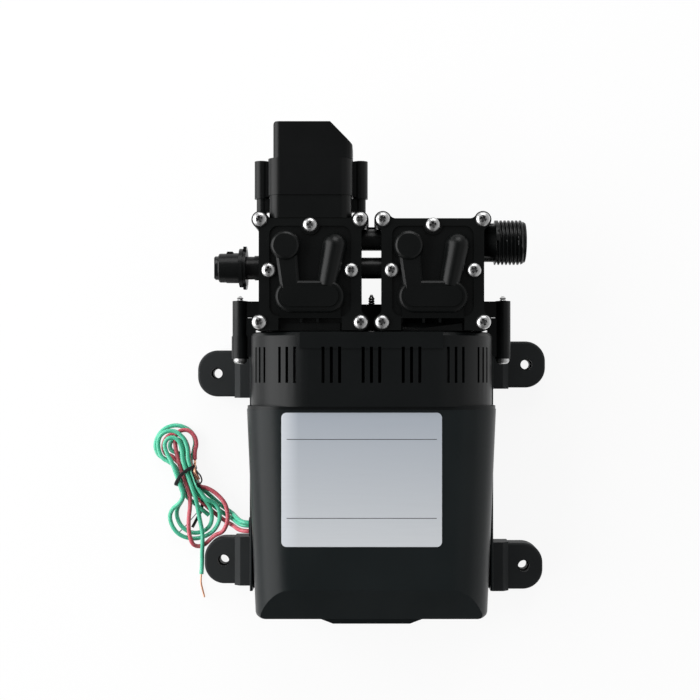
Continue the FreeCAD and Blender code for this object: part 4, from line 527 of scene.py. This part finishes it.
# Which finish each node of the frame takes
finishOfNode = {
    "coverPlastic": ["motor_cover", "base_tray"],
    "collarPlastic": ["vent_collar"],
    "headPlastic": [
        "crank_housing", "left_valve_body", "right_valve_body", "left_head_cover",
        "right_head_cover", "suction_link", "discharge_link", "inlet_connector",
    ],
    "switchPlastic": ["switch_body", "switch_cap", "switch_plunger"],
    "plugPlastic": ["transit_plug", "retaining_clip"],
    "microCase": ["micro_switch"],
    "buttonPlastic": ["switch_button"],
    "brushCapPlastic": ["brush_caps"],
    "rodPlastic": ["left_rod", "right_rod"],
    "footRubber": ["foot_upper_left", "foot_upper_right", "foot_lower_left", "foot_lower_right"],
    "sealRubber": [
        "cover_gaskets", "umbrella_valves", "port_rings", "switch_diaphragm",
        "left_diaphragm", "right_diaphragm", "wire_grommet",
    ],
    "zincScrew": ["head_screws", "boss_screws", "base_screws", "switch_screws"],
    "labelFilm": ["rating_label"],
    "canSteel": ["left_motor_can", "right_motor_can"],
    "magnetFerrite": ["motor_magnets"],
    "brushCarbon": ["carbon_brushes"],
    "shaftSteel": ["left_shaft", "right_shaft", "switch_spring"],
    "bearingSteel": ["front_bearings", "left_rod_bearing", "right_rod_bearing"],
    "armatureIron": ["left_armature", "right_armature"],
    "commutatorCopper": ["left_commutator", "right_commutator"],
    "crankMetal": ["left_eccentric", "right_eccentric"],
    "greenWire": ["green_lead_a", "green_lead_b", "green_hank", "green_tail"],
    "redWire": ["red_lead", "red_hank"],
}
for finishName, members in finishOfNode.items():
    for member in members:
        nodes[member].data.materials.clear()
        nodes[member].data.materials.append(finishes[finishName])
print("frame nodes painted")

# Pan-head screws with a cross recess and a rolled thread, in millimetres. The dome is given by
# its steps inward and up, and the recess by the length, width and depth of its arms
screwKinds = {
    "head": {
        "radius": 3.4, "rim": 0.85, "dome": [(0.3, 0.6), (0.45, 0.4), (0.9, 0.3)], "shank": 1.6,
        "recess": (4.3, 1.45, 1.7),
    },
    "boss": {
        "radius": 3.3, "rim": 1.1, "dome": [(0.3, 0.7), (0.45, 0.5), (0.9, 0.3)], "shank": 1.7,
        "recess": (4.2, 1.4, 1.7),
    },
    "base": {
        "radius": 3.2, "rim": 0.7, "dome": [(0.3, 0.5), (0.45, 0.35), (0.9, 0.25)], "shank": 1.6,
        "recess": (4.0, 1.3, 1.4),
    },
    "switch": {
        "radius": 2.5, "rim": 0.55, "dome": [(0.25, 0.4), (0.35, 0.3), (0.7, 0.2)], "shank": 1.4,
        "recess": (3.2, 1.1, 1.1),
    },
}
screwForm = {
    "sides": 28, "smooth": 34, "taper": (0.42, 0.62, 1), "roll": 17, "rollStep": 41,
    "pitch": 1.15, "crest": 1.0, "root": 0.74, "tip": 1.6, "point": 0.3,
}


def recessArm(size, top, turn):
    # One tapering arm of the cross, as a cutter above and into the head
    length, width, depth = size
    deselectAll()
    bpy.ops.mesh.primitive_cube_add(size=1, location=(0, 0, top * mm))
    arm = bpy.context.object
    arm.scale = (length * mm, width * mm, 2 * depth * mm)
    bpy.ops.object.transform_apply(location=True, rotation=True, scale=True)
    pickFacing(arm, -1)
    below = (0, 0, (top - depth) * mm)
    bpy.ops.transform.resize(value=screwForm["taper"], center_override=below)
    leaveEdit()
    arm.data.transform(Matrix.Rotation(math.radians(turn), 4, "Z"))
    # The recess walls take this dark finish, as painted shade
    arm.data.materials.append(finishes["recessPaintedShade"])
    return arm


def drawDown(step, ratio, depth):
    # The picked face pulled down by one step, and resized at its new depth
    bpy.ops.mesh.extrude_region_move(TRANSFORM_OT_translate={"value": (0, 0, -step * mm)})
    bpy.ops.transform.resize(value=(ratio, ratio, 1), center_override=(0, 0, -depth * mm))


def modelScrew(kind, length):
    look = screwKinds[kind]
    top = look["rim"]
    deselectAll()
    bpy.ops.mesh.primitive_cylinder_add(
        vertices=screwForm["sides"], radius=look["radius"] * mm, depth=top * mm,
        location=(0, 0, top * mm / 2),
    )
    bpy.ops.object.transform_apply(location=True, rotation=True, scale=True)
    screw = bpy.context.object
    screw.name = kind + "ScrewModel"
    pickFacing(screw, 1)
    for inward, rise in look["dome"]:
        bpy.ops.mesh.inset(thickness=inward * mm)
        bpy.ops.transform.translate(value=(0, 0, rise * mm))
        top += rise
    pickFacing(screw, -1)
    bpy.ops.mesh.inset(thickness=(look["radius"] - look["shank"]) * mm)
    # The thread: the shank drawn down between crests and roots
    step = screwForm["pitch"] / 2
    depth = 0.0
    size = screwForm["crest"]
    while depth < length - screwForm["tip"]:
        wanted = screwForm["root"] if size == screwForm["crest"] else screwForm["crest"]
        depth += step
        drawDown(step, wanted / size, depth)
        size = wanted
    drawDown(length - depth, screwForm["point"] / size, length)
    leaveEdit()
    screw.data.materials.append(finishes["zincScrew"])
    for turn in (0, 90):
        cutWith(screw, recessArm(look["recess"], top, turn))
    smoothBy(screw, screwForm["smooth"])
    return screw


# Where the screws sit, in millimetres: each place is across, along and the length under the head
screwRows = {
    "head": {
        "middles": (-28.45, 28.45), "level": 69.3, "top": (0, 69.1, 29.3),
        "sides": [(23.2, 71.7, 29.3), (23.5, 24.1, 29.3), (19.1, 48.2, 7.0)],
    },
    "boss": {"level": 30, "side": (65.0, 7.6, 31.0), "middle": (0, 17.7, 21.6)},
    "base": {"level": 7, "sides": [(38, -98, 5.8), (38, -30, 5.8)]},
    "switch": {"middle": -28.5, "level": 57, "side": (23.3, 98.2, 20.7)},
}
seats = {"head_screws": [], "boss_screws": [], "base_screws": [], "switch_screws": []}


def seat(kind, across, along, facing, length):
    place = (across, along, screwRows[kind]["level"])
    seats[kind + "_screws"].append((kind, place, facing, length))


for headX in screwRows["head"]["middles"]:
    for side in (-1, 1):
        for across, along, length in screwRows["head"]["sides"]:
            seat("head", headX + side * across, along, (0, 0, 1), length)
    across, along, length = screwRows["head"]["top"]
    seat("head", headX + across, along, (0, 0, 1), length)
for side in (-1, 1):
    across, along, length = screwRows["boss"]["side"]
    seat("boss", side * across, along, (0, -1, 0), length)
    for across, along, length in screwRows["base"]["sides"]:
        seat("base", side * across, along, (0, 0, -1), length)
    across, along, length = screwRows["switch"]["side"]
    seat("switch", screwRows["switch"]["middle"] + side * across, along, (0, 1, 0), length)
across, along, length = screwRows["boss"]["middle"]
seat("boss", across, along, (0, -1, 0), length)

screwModels = {}
for node, places in seats.items():
    for number, (kind, place, facing, length) in enumerate(places):
        if (kind, length) not in screwModels:
            screwModels[kind, length] = modelScrew(kind, length)
        name = node.replace("_screws", "Screw") + str(number + 1)
        roll = screwForm["roll"] + screwForm["rollStep"] * number
        spot = [value * mm for value in place]
        copy = copyTo(screwModels[kind, length], name, spot, facing, roll)
        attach(copy, "housing")
        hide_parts(node)
for model in screwModels.values():
    bpy.data.objects.remove(model)
print("screws modelled:", sum(len(places) for places in seats.values()))

# The outlet's pipe thread, cut into a copy of the right valve body, in millimetres
outletThread = {
    "y": 62.1, "z": 58.0, "start": 58.6, "crest": 10.48, "depth": 1.16, "pitch": 1.814,
    "turns": 7.6, "flat": 0.32, "over": 0.6, "overHalf": 0.12,
    "stepsPerTurn": 40, "weld": 0.0005, "smooth": 30,
}


def copyValveBody():
    body = nodes["right_valve_body"].copy()
    body.data = body.data.copy()
    body.name = "rightValveBody"
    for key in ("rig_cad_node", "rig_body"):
        if key in body:
            del body[key]
    body.parent = None
    bpy.context.scene.collection.objects.link(body)
    enterEdit(body, "VERT", "SELECT")
    bpy.ops.mesh.remove_doubles(threshold=outletThread["weld"] * mm)
    leaveEdit()
    return body


def threadGroove():
    # The groove's outline, stood up beside the X axis and wound round it
    look = outletThread
    rim, root = look["crest"] + look["over"], look["crest"] - look["depth"]
    halfFlat = look["flat"] / 2
    halfRim = look["pitch"] / 2 - halfFlat + look["overHalf"]
    outline = [(-halfRim, rim), (-halfFlat, root), (halfFlat, root), (halfRim, rim)]
    deselectAll()
    bpy.ops.mesh.primitive_plane_add(size=0.001)
    groove = bpy.context.object
    for corner, (x, up) in zip((0, 1, 3, 2), outline):
        groove.data.vertices[corner].co = (x * mm, 0, up * mm)
    rise = look["pitch"] * look["turns"] * mm
    windUp(groove, "X", look["turns"], rise, look["stepsPerTurn"])
    enterEdit(groove, "EDGE", "DESELECT")
    bpy.ops.mesh.select_non_manifold()
    bpy.ops.mesh.fill()
    bpy.ops.mesh.select_all(action="SELECT")
    bpy.ops.mesh.normals_make_consistent(inside=False)
    leaveEdit()
    start = Vector((look["start"], look["y"], look["z"])) * mm
    groove.data.transform(Matrix.Translation(start))
    return groove


threadedBody = copyValveBody()
cutWith(threadedBody, threadGroove())
smoothBy(threadedBody, outletThread["smooth"])
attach(threadedBody, "housing")
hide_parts("right_valve_body")
print("outlet thread cut")

# Coil spring of the pressure switch, in millimetres
springForm = {
    "x": -28.5, "z": 57.0, "low": 85.05, "high": 90.4, "middle": 3.3, "wire": 0.4,
    "turns": 4.5, "sides": 10, "stepsPerTurn": 28, "smooth": 60,
}


def windSpring():
    look = springForm
    deselectAll()
    bpy.ops.mesh.primitive_circle_add(
        vertices=look["sides"], radius=look["wire"] * mm, fill_type="NGON"
    )
    spring = bpy.context.object
    spring.name = "switchSpring"
    spring.data.transform(Matrix.Rotation(math.radians(90), 4, "X"))
    spring.data.transform(Matrix.Rotation(math.radians(90), 4, "Z"))
    spring.data.transform(Matrix.Translation(Vector((0, 0, look["middle"] * mm))))
    rise = (look["high"] - look["low"] - 2 * look["wire"]) * mm
    windUp(spring, "Y", look["turns"], rise, look["stepsPerTurn"])
    enterEdit(spring, "VERT", "SELECT")
    bpy.ops.mesh.normals_make_consistent(inside=False)
    leaveEdit()
    start = Vector((look["x"], look["low"] + look["wire"], look["z"])) * mm
    spring.data.transform(Matrix.Translation(start))
    smoothBy(spring, look["smooth"])
    spring.data.materials.append(finishes["shaftSteel"])
    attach(spring, "housing")
    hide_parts("switch_spring")
    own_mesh(spring)


windSpring()
print("spring wound")

# The hank of wires, in millimetres: u runs across it, v along it, away from the tie
hankForm = {
    "x": -95.6, "y": -52.4, "lean": 19.0, "pitch": 2.7, "waistHalf": 5.0, "waist": 2.2,
    "entry": 3.35, "entryLean": 0.287, "floor": 1.15, "wire": 2.2,
}


def hankPoint(u, v, z):
    lean = math.radians(hankForm["lean"])
    x = hankForm["x"] + u * math.cos(lean) - v * math.sin(lean)
    y = hankForm["y"] + u * math.sin(lean) + v * math.cos(lean)
    return Vector((x, y, z)) * mm


def hankHeading(angle):
    turn = math.radians(hankForm["lean"] + angle)
    return Vector((math.cos(turn), math.sin(turn), 0))


def waistLevel(layer):
    return hankForm["waist"] + layer * hankForm["pitch"]


def knot(u, v, z, angle):
    return (hankPoint(u, v, z), hankHeading(angle))


def waistRun(u, layer, angle):
    end = math.copysign(hankForm["waistHalf"], angle)
    return [knot(u, -end, waistLevel(layer), angle), knot(u, end, waistLevel(layer), angle)]


def loopKnots(way, sideV, near, far, opposite):
    # One loop by its widest places and its far end, each with its height
    return [
        knot(near[0], sideV, near[1], 90 * way),
        knot(far[0], far[1], far[2], 0 if way > 0 else 180),
        knot(opposite[0], sideV, opposite[1], -90 * way),
    ]


# Below these, two headings count as one and a stretch as straight
sameHeading, sameLine = 1e-9, 1e-4


def turnPoints(knots):
    # Where the headings of neighbouring knots meet, two points for each stretch
    points = []
    for (start, leaving), (end, arriving) in zip(knots, knots[1:]):
        gap = end - start
        bend = 2 * (1 - leaving.dot(arriving))
        along = gap.dot(leaving + arriving)
        if bend < sameHeading:  # A straight stretch needs no point, a shift to one side does
            if (gap.normalized() - arriving).length < sameLine:
                continue
            reach = gap.dot(gap) / (4 * gap.dot(arriving))
        else:
            reach = (math.sqrt(along * along + bend * gap.dot(gap)) - along) / bend
        points += [start + leaving * reach, end - arriving * reach]
    return points


def routePoints(places):
    return [Vector(place) * mm for place in places]


def waistEntry(slot):
    before = hankForm["entry"] - slot * hankForm["entryLean"]
    return hankPoint(slot, -(hankForm["waistHalf"] + before), waistLevel(0))


slotInner, slotOuter = hankForm["pitch"] / 2, hankForm["pitch"] * 1.5
low, middle, high = (hankForm["floor"] + hankForm["pitch"] * layer for layer in range(3))

# First green wire: from the grommet, three turns of the hank, and a bared end
greenRouteA = [
    (-62.0, -77.1, 13.2), (-65.4, -77.1, 13.2), (-69.0, -76.0, 8.6), (-71.4, -75.0, 2.7),
    (-75.2, -73.1, 1.2), (-80.2, -69.7, 1.2), (-86.0, -64.3, 1.5),
]
greenTurns = waistRun(slotInner, 0, 90)
greenTurns.append(knot(0.1, 10.6, low + 0.1, 100))
greenTurns += loopKnots(1, 16.2, (-3.7, low), (-0.3, 19.6, low), (2.9, low + 1.3))
greenTurns += waistRun(slotInner, 1, -90)
greenTurns += loopKnots(-1, -20.5, (6.2, middle + 0.5), (-2.6, -30.2, low), (-12.0, low))
greenTurns += waistRun(-slotOuter, 1, 90)
greenTurns += loopKnots(1, 15.5, (-9.2, middle), (-1.8, 24.8, high), (5.7, high + 0.3))
greenTurns += waistRun(slotOuter, 2, -90)
greenTurns.append(knot(5.2, -12.0, high + 0.6, -74))
greenTurns += loopKnots(-1, -21.0, (10.2, middle + 0.9), (-2.6, -33.0, low), (-15.4, middle))
greenTurns += waistRun(-slotOuter, 2, 90)
greenTurns += loopKnots(1, 16.8, (-5.3, high), (-1.3, 21.2, high), (2.7, high))
greenTurns += waistRun(slotInner, 2, -90)
tailRoute = [
    (-90.2, -64.0, 7.0), (-88.9, -73.0, 5.0), (-87.4, -80.5, 4.3), (-87.0, -87.0, 5.2),
    (-87.7, -92.4, 2.4), (-87.8, -98.0, 1.15), (-88.2, -103.6, 1.15),
]
greenWireA = routePoints(greenRouteA) + [waistEntry(slotInner)] + turnPoints(greenTurns)
greenWireA += [hankPoint(slotInner, -9, waistLevel(2))] + routePoints(tailRoute)

# Second green wire: one wide turn and a cut end
greenRouteB = [
    (-62.0, -75.2, 15.9), (-65.2, -75.2, 15.9), (-68.8, -73.6, 10.6), (-71.0, -72.4, 4.0),
    (-74.4, -70.5, 1.2), (-79.2, -67.0, 1.2), (-84.2, -62.3, 1.5),
]
wideTurn = waistRun(slotOuter, 0, 90)
wideTurn.append(knot(7.2, 10.6, low + 0.1, 60))
wideTurn.append(knot(9.9, 16.5, low, 90))
wideTurn.append(knot(-0.6, 26.8, low, 180))
wideTurn.append(knot(-10.9, 16.5, low, -90))
wideTurn.append(knot(-7.4, 10.6, low + 0.2, -58))
wideTurn += waistRun(-slotOuter, 0, -90)
wideTurn.append(knot(-slotOuter, -8.6, low + 0.5, -90))
wideTurn.append(knot(-2.8, -12.4, low + 0.2, -58))
greenWireB = routePoints(greenRouteB) + [waistEntry(slotOuter)] + turnPoints(wideTurn)
greenWireB += [hankPoint(4.0, -23.4, low)]

# Red wire: two turns and a bared end beside the tie
redRoute = [
    (-62.0, -79.6, 15.4), (-65.2, -79.6, 15.4), (-68.8, -79.1, 9.8), (-71.2, -78.5, 2.8),
    (-75.6, -76.3, 1.2), (-81.2, -72.3, 1.2), (-87.4, -66.6, 1.5),
]
redTurns = waistRun(-slotInner, 0, 90)
redTurns.append(knot(-3.6, 10.6, low + 0.1, 111))
redTurns += loopKnots(1, 15.5, (-7.2, low), (-0.6, 22.6, low), (5.2, low + 0.7))
redTurns += waistRun(slotOuter, 1, -90)
redTurns.append(knot(9.6, -11.0, 4.8, -50))
redTurns.append(knot(14.4, -23.0, 5.8, -94))
redTurns.append(knot(12.2, -29.6, 5.4, -122))
redTurns.append(knot(6.0, -33.8, 4.2, 180))
redTurns.append(knot(-0.2, -35.7, 2.7, -154))
redTurns.append(knot(-4.6, -37.0, low + 0.2, 178))
redTurns.append(knot(-8.6, -31.6, middle + 0.6, 82))
redTurns += waistRun(-slotInner, 1, 90)
redTurns.append(knot(-1.0, 12.0, middle + 0.2, 84))
redTurns.append(knot(5.4, 22.8, middle + 0.15, 0))
redTurns.append(knot(10.6, 15.6, middle, -95))
redTurns.append(knot(7.5, 8.2, middle + 0.7, -105))
redWire = routePoints(redRoute) + [waistEntry(-slotInner)] + turnPoints(redTurns)
redWire += [hankPoint(7.0, 6.4, middle + 0.7)]

wires = {
    "greenWireA": {
        "points": greenWireA, "finish": "greenWire", "slot": "green_wire",
        "nodes": ["green_lead_a", "green_hank", "green_tail"], "ends": ["greenTailCopper"],
    },
    "greenWireB": {
        "points": greenWireB, "finish": "greenWire", "slot": "green_wire",
        "nodes": ["green_lead_b"], "ends": [],
    },
    "redWire": {
        "points": redWire, "finish": "redWire", "slot": "red_wire",
        "nodes": ["red_lead", "red_hank"], "ends": ["redTailCopper", "redTailStrands"],
    },
}
# How finely the wires and the thin lines are drawn
lineForm = {"wireSteps": 12, "wireRoundness": 4, "thinSteps": 10, "thinRoundness": 3}


def smoothLine(name, points, steps, roundness, closed=False, tilt=0.0):
    # One NURBS line through a route, its order set after its points
    data = bpy.data.curves.new(name, "CURVE")
    data.dimensions = "3D"
    data.resolution_u = steps
    data.bevel_resolution = roundness
    data.use_fill_caps = True
    spline = data.splines.new("NURBS")
    spline.points.add(len(points) - 1)
    for point, place in zip(spline.points, points):
        point.co = (*place, 1.0)
        point.tilt = tilt
    spline.order_u = 3
    spline.use_cyclic_u = closed
    spline.use_endpoint_u = True
    line = bpy.data.objects.new(name, data)
    bpy.context.scene.collection.objects.link(line)
    return line


def lineLength(curve):
    line = bpy.data.meshes.new_from_object(curve)
    ends = [[line.vertices[number].co for number in edge.vertices] for edge in line.edges]
    total = sum((first - second).length for first, second in ends)
    bpy.data.meshes.remove(line)
    return total


def layWire(name):
    look = wires[name]
    wire = smoothLine(name, look["points"], lineForm["wireSteps"], lineForm["wireRoundness"])
    length = lineLength(wire)
    wire.data.bevel_depth = hankForm["wire"] * mm / 2
    wire.data.materials.append(finishes[look["finish"]])
    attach(wire, "housing")
    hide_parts(*look["nodes"])
    print(name, "is", round(length / mm, 1), "mm long")
    return wire, length


laid = {name: layWire(name) for name in wires}

# Thin things on the hank, in its own u, v and z: bared copper, and the tie with its eye and ends
smallLines = {
    "greenTailCopper": {
        "places": [
            (-9.7, -50.8, 1.15), (-11.2, -53.9, 1.0), (-11.7, -57.1, 0.9), (-11.9, -60.4, 0.8),
            (-12.2, -62.8, 0.8),
        ],
        "thick": 0.95, "finish": "copperEnd", "slot": "commutator_copper",
    },
    "redTailCopper": {
        "places": [
            (7.0, 6.4, 4.55), (6.6, 4.6, 5.4), (6.0, 2.8, 8.0), (5.8, 1.0, 9.9), (6.3, -1.4, 9.6),
            (6.4, -3.8, 9.0),
        ],
        "thick": 1.25, "finish": "copperEnd", "slot": "commutator_copper",
    },
    "redTailStrands": {
        "places": [(6.2, 3.4, 7.4), (5.4, 1.4, 9.7), (5.2, -0.8, 9.5), (5.3, -3.6, 9.1)],
        "thick": 1.1, "finish": "copperEnd", "slot": "commutator_copper",
    },
    "tieStrap": {
        "places": [
            (-1.7, 1.3, 9.35), (-5.2, -1.4, 9.3), (-6.2, -3.0, 8.0), (-6.2, -3.2, 2.4),
            (-5.2, -2.8, 0.7), (0.0, -0.4, 0.7), (5.4, 2.0, 0.75), (6.3, 2.6, 2.4), (6.5, 2.8, 8.0),
            (5.6, 3.0, 9.4), (2.4, 3.0, 9.35),
        ],
        "thick": 0.5, "width": 1.3, "closed": True, "finish": "tiePlastic", "slot": "tie_plastic",
    },
    "tieEye": {
        "places": [
            (6.3, 2.4, 8.6), (6.6, 0.4, 9.6), (7.9, -2.2, 9.6), (7.7, -5.2, 9.2), (5.6, -6.3, 9.4),
            (4.4, -5.2, 10.0), (4.6, -2.4, 10.2), (4.4, 0.4, 10.2), (4.6, 2.4, 9.9),
        ],
        "thick": 0.8, "finish": "tiePlastic", "slot": "tie_plastic",
    },
    "tieEndWide": {
        "places": [
            (4.8, -5.6, 9.3), (5.6, -9.6, 7.4), (3.2, -15.4, 2.0), (1.2, -19.8, 1.0),
            (-2.4, -22.8, 0.8), (-5.1, -25.4, 0.8), (-6.3, -26.5, 0.8),
        ],
        "thick": 0.4, "width": 1.2, "finish": "tiePlastic", "slot": "tie_plastic",
    },
    "tieEndThin": {
        "places": [(2.6, -17.6, 0.4), (-4.6, -21.8, 0.3), (-9.6, -24.9, 0.3), (-14.9, -27.3, 0.3)],
        "thick": 0.45, "finish": "tiePlastic", "slot": "tie_plastic",
    },
}


def layThinLine(name):
    look = smallLines[name]
    points = [hankPoint(*place) for place in look["places"]]
    line = smoothLine(
        name, points, lineForm["thinSteps"], lineForm["thinRoundness"],
        look.get("closed", False), math.pi / 2,
    )
    line.data.extrude = look.get("width", 0) * mm / 2
    line.data.bevel_depth = look["thick"] * mm / 2
    line.data.materials.append(finishes[look["finish"]])
    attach(line, "housing")
    return line


thinPieces = {name: layThinLine(name) for name in smallLines}
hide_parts("wire_tie")

print("wires laid")

# Plain pale floor and soft studio light, in metres and watts. Each wall is a place from -1 at
# the left to 1 at the right, and how bright it is there
studio = {
    "keyPlace": (-1.28, 0.15, 0.65), "keySize": 1.6, "keyPower": 26.0,
    "topPlace": (0.1, 1.35, 0.8), "topSize": 0.9, "topPower": 11.0,
    "walls": [(-0.8, 1.0), (-0.15, 0.06), (0.02, 0.08), (0.4, 0.5), (0.8, 0.5), (0.97, 1.0)],
    "floorSize": 6, "floorDrop": 0.0002, "floorPaper": 0.9, "floorRough": 0.9, "floorGlow": 0.9,
}


def makeFloor():
    deselectAll()
    drop = (0, 0, -studio["floorDrop"])
    bpy.ops.mesh.primitive_plane_add(size=studio["floorSize"], location=drop)
    floor = bpy.context.object
    floor.name = "floor"
    paint = newPaint("floorPaper")
    paper = paint.finish(
        Base_Color=shade(*[studio["floorPaper"]] * 3), Roughness=studio["floorRough"]
    )
    seen, mirrored, through = [
        paint.node("ShaderNodeLightPath", output="Is " + kind + " Ray")
        for kind in ("Camera", "Glossy", "Transmission")
    ]
    glow = paint.node("ShaderNodeEmission", inputs={"Color": shade(1, 1, 1), "Strength": 1.0})
    share = (seen + mirrored + through) * studio["floorGlow"]
    matt = Reading(paint, paint.shader.outputs[0])
    mixed = paint.node("ShaderNodeMixShader", inputs={0: share, 1: matt, 2: glow})
    paint.feed(paint.tree.nodes["Material Output"].inputs["Surface"], mixed)
    floor.data.materials.append(paper)


def makeLamp(name, place, size, power):
    data = bpy.data.lights.new(name, "AREA")
    data.size = size
    data.energy = power
    lamp = bpy.data.objects.new(name, data)
    bpy.context.scene.collection.objects.link(lamp)
    lamp.location = place
    lamp.rotation_euler = (-Vector(place)).to_track_quat("-Z", "Y").to_euler()


makeFloor()
makeLamp("keyLamp", studio["keyPlace"], studio["keySize"], studio["keyPower"])
makeLamp("topLamp", studio["topPlace"], studio["topSize"], studio["topPower"])


def makeWorld():
    # White on the left, dim over the camera, and half bright on the right up to a white edge
    world = bpy.data.worlds.new("studioWorld")
    bpy.context.scene.world = world
    sky = Paint(world)
    where = sky.node("ShaderNodeTexCoord", output="Generated")
    side = sky.node("ShaderNodeSeparateXYZ", inputs={"Vector": where}, output="X")
    stops = [
        (0.5 + 0.5 * place, shade(level, level, level)) for place, level in studio["walls"]
    ]
    walls = sky.node("ShaderNodeValToRGB", {"stops": stops}, {"Fac": side * 0.5 + 0.5})
    walls.socket.node.color_ramp.interpolation = "EASE"
    sky.feed(sky.tree.nodes["Background"].inputs["Color"], walls)


makeWorld()

# Camera straight over the pump, as the photograph was taken, its place in millimetres
view = {"place": (0.4, 0.9, 640.0), "lens": 63.36, "sensor": 36, "shift": 0.03186}
cameraData = bpy.data.cameras.new("camera")
cameraData.lens = view["lens"]
cameraData.sensor_width = view["sensor"]
cameraData.shift_x = -view["shift"]
cameraData.shift_y = view["shift"]
camera = bpy.data.objects.new("camera", cameraData)
camera.location = Vector(view["place"]) * mm
bpy.context.scene.collection.objects.link(camera)
bpy.context.scene.camera = camera
bpy.context.scene.view_settings.view_transform = "Standard"
print("camera placed")
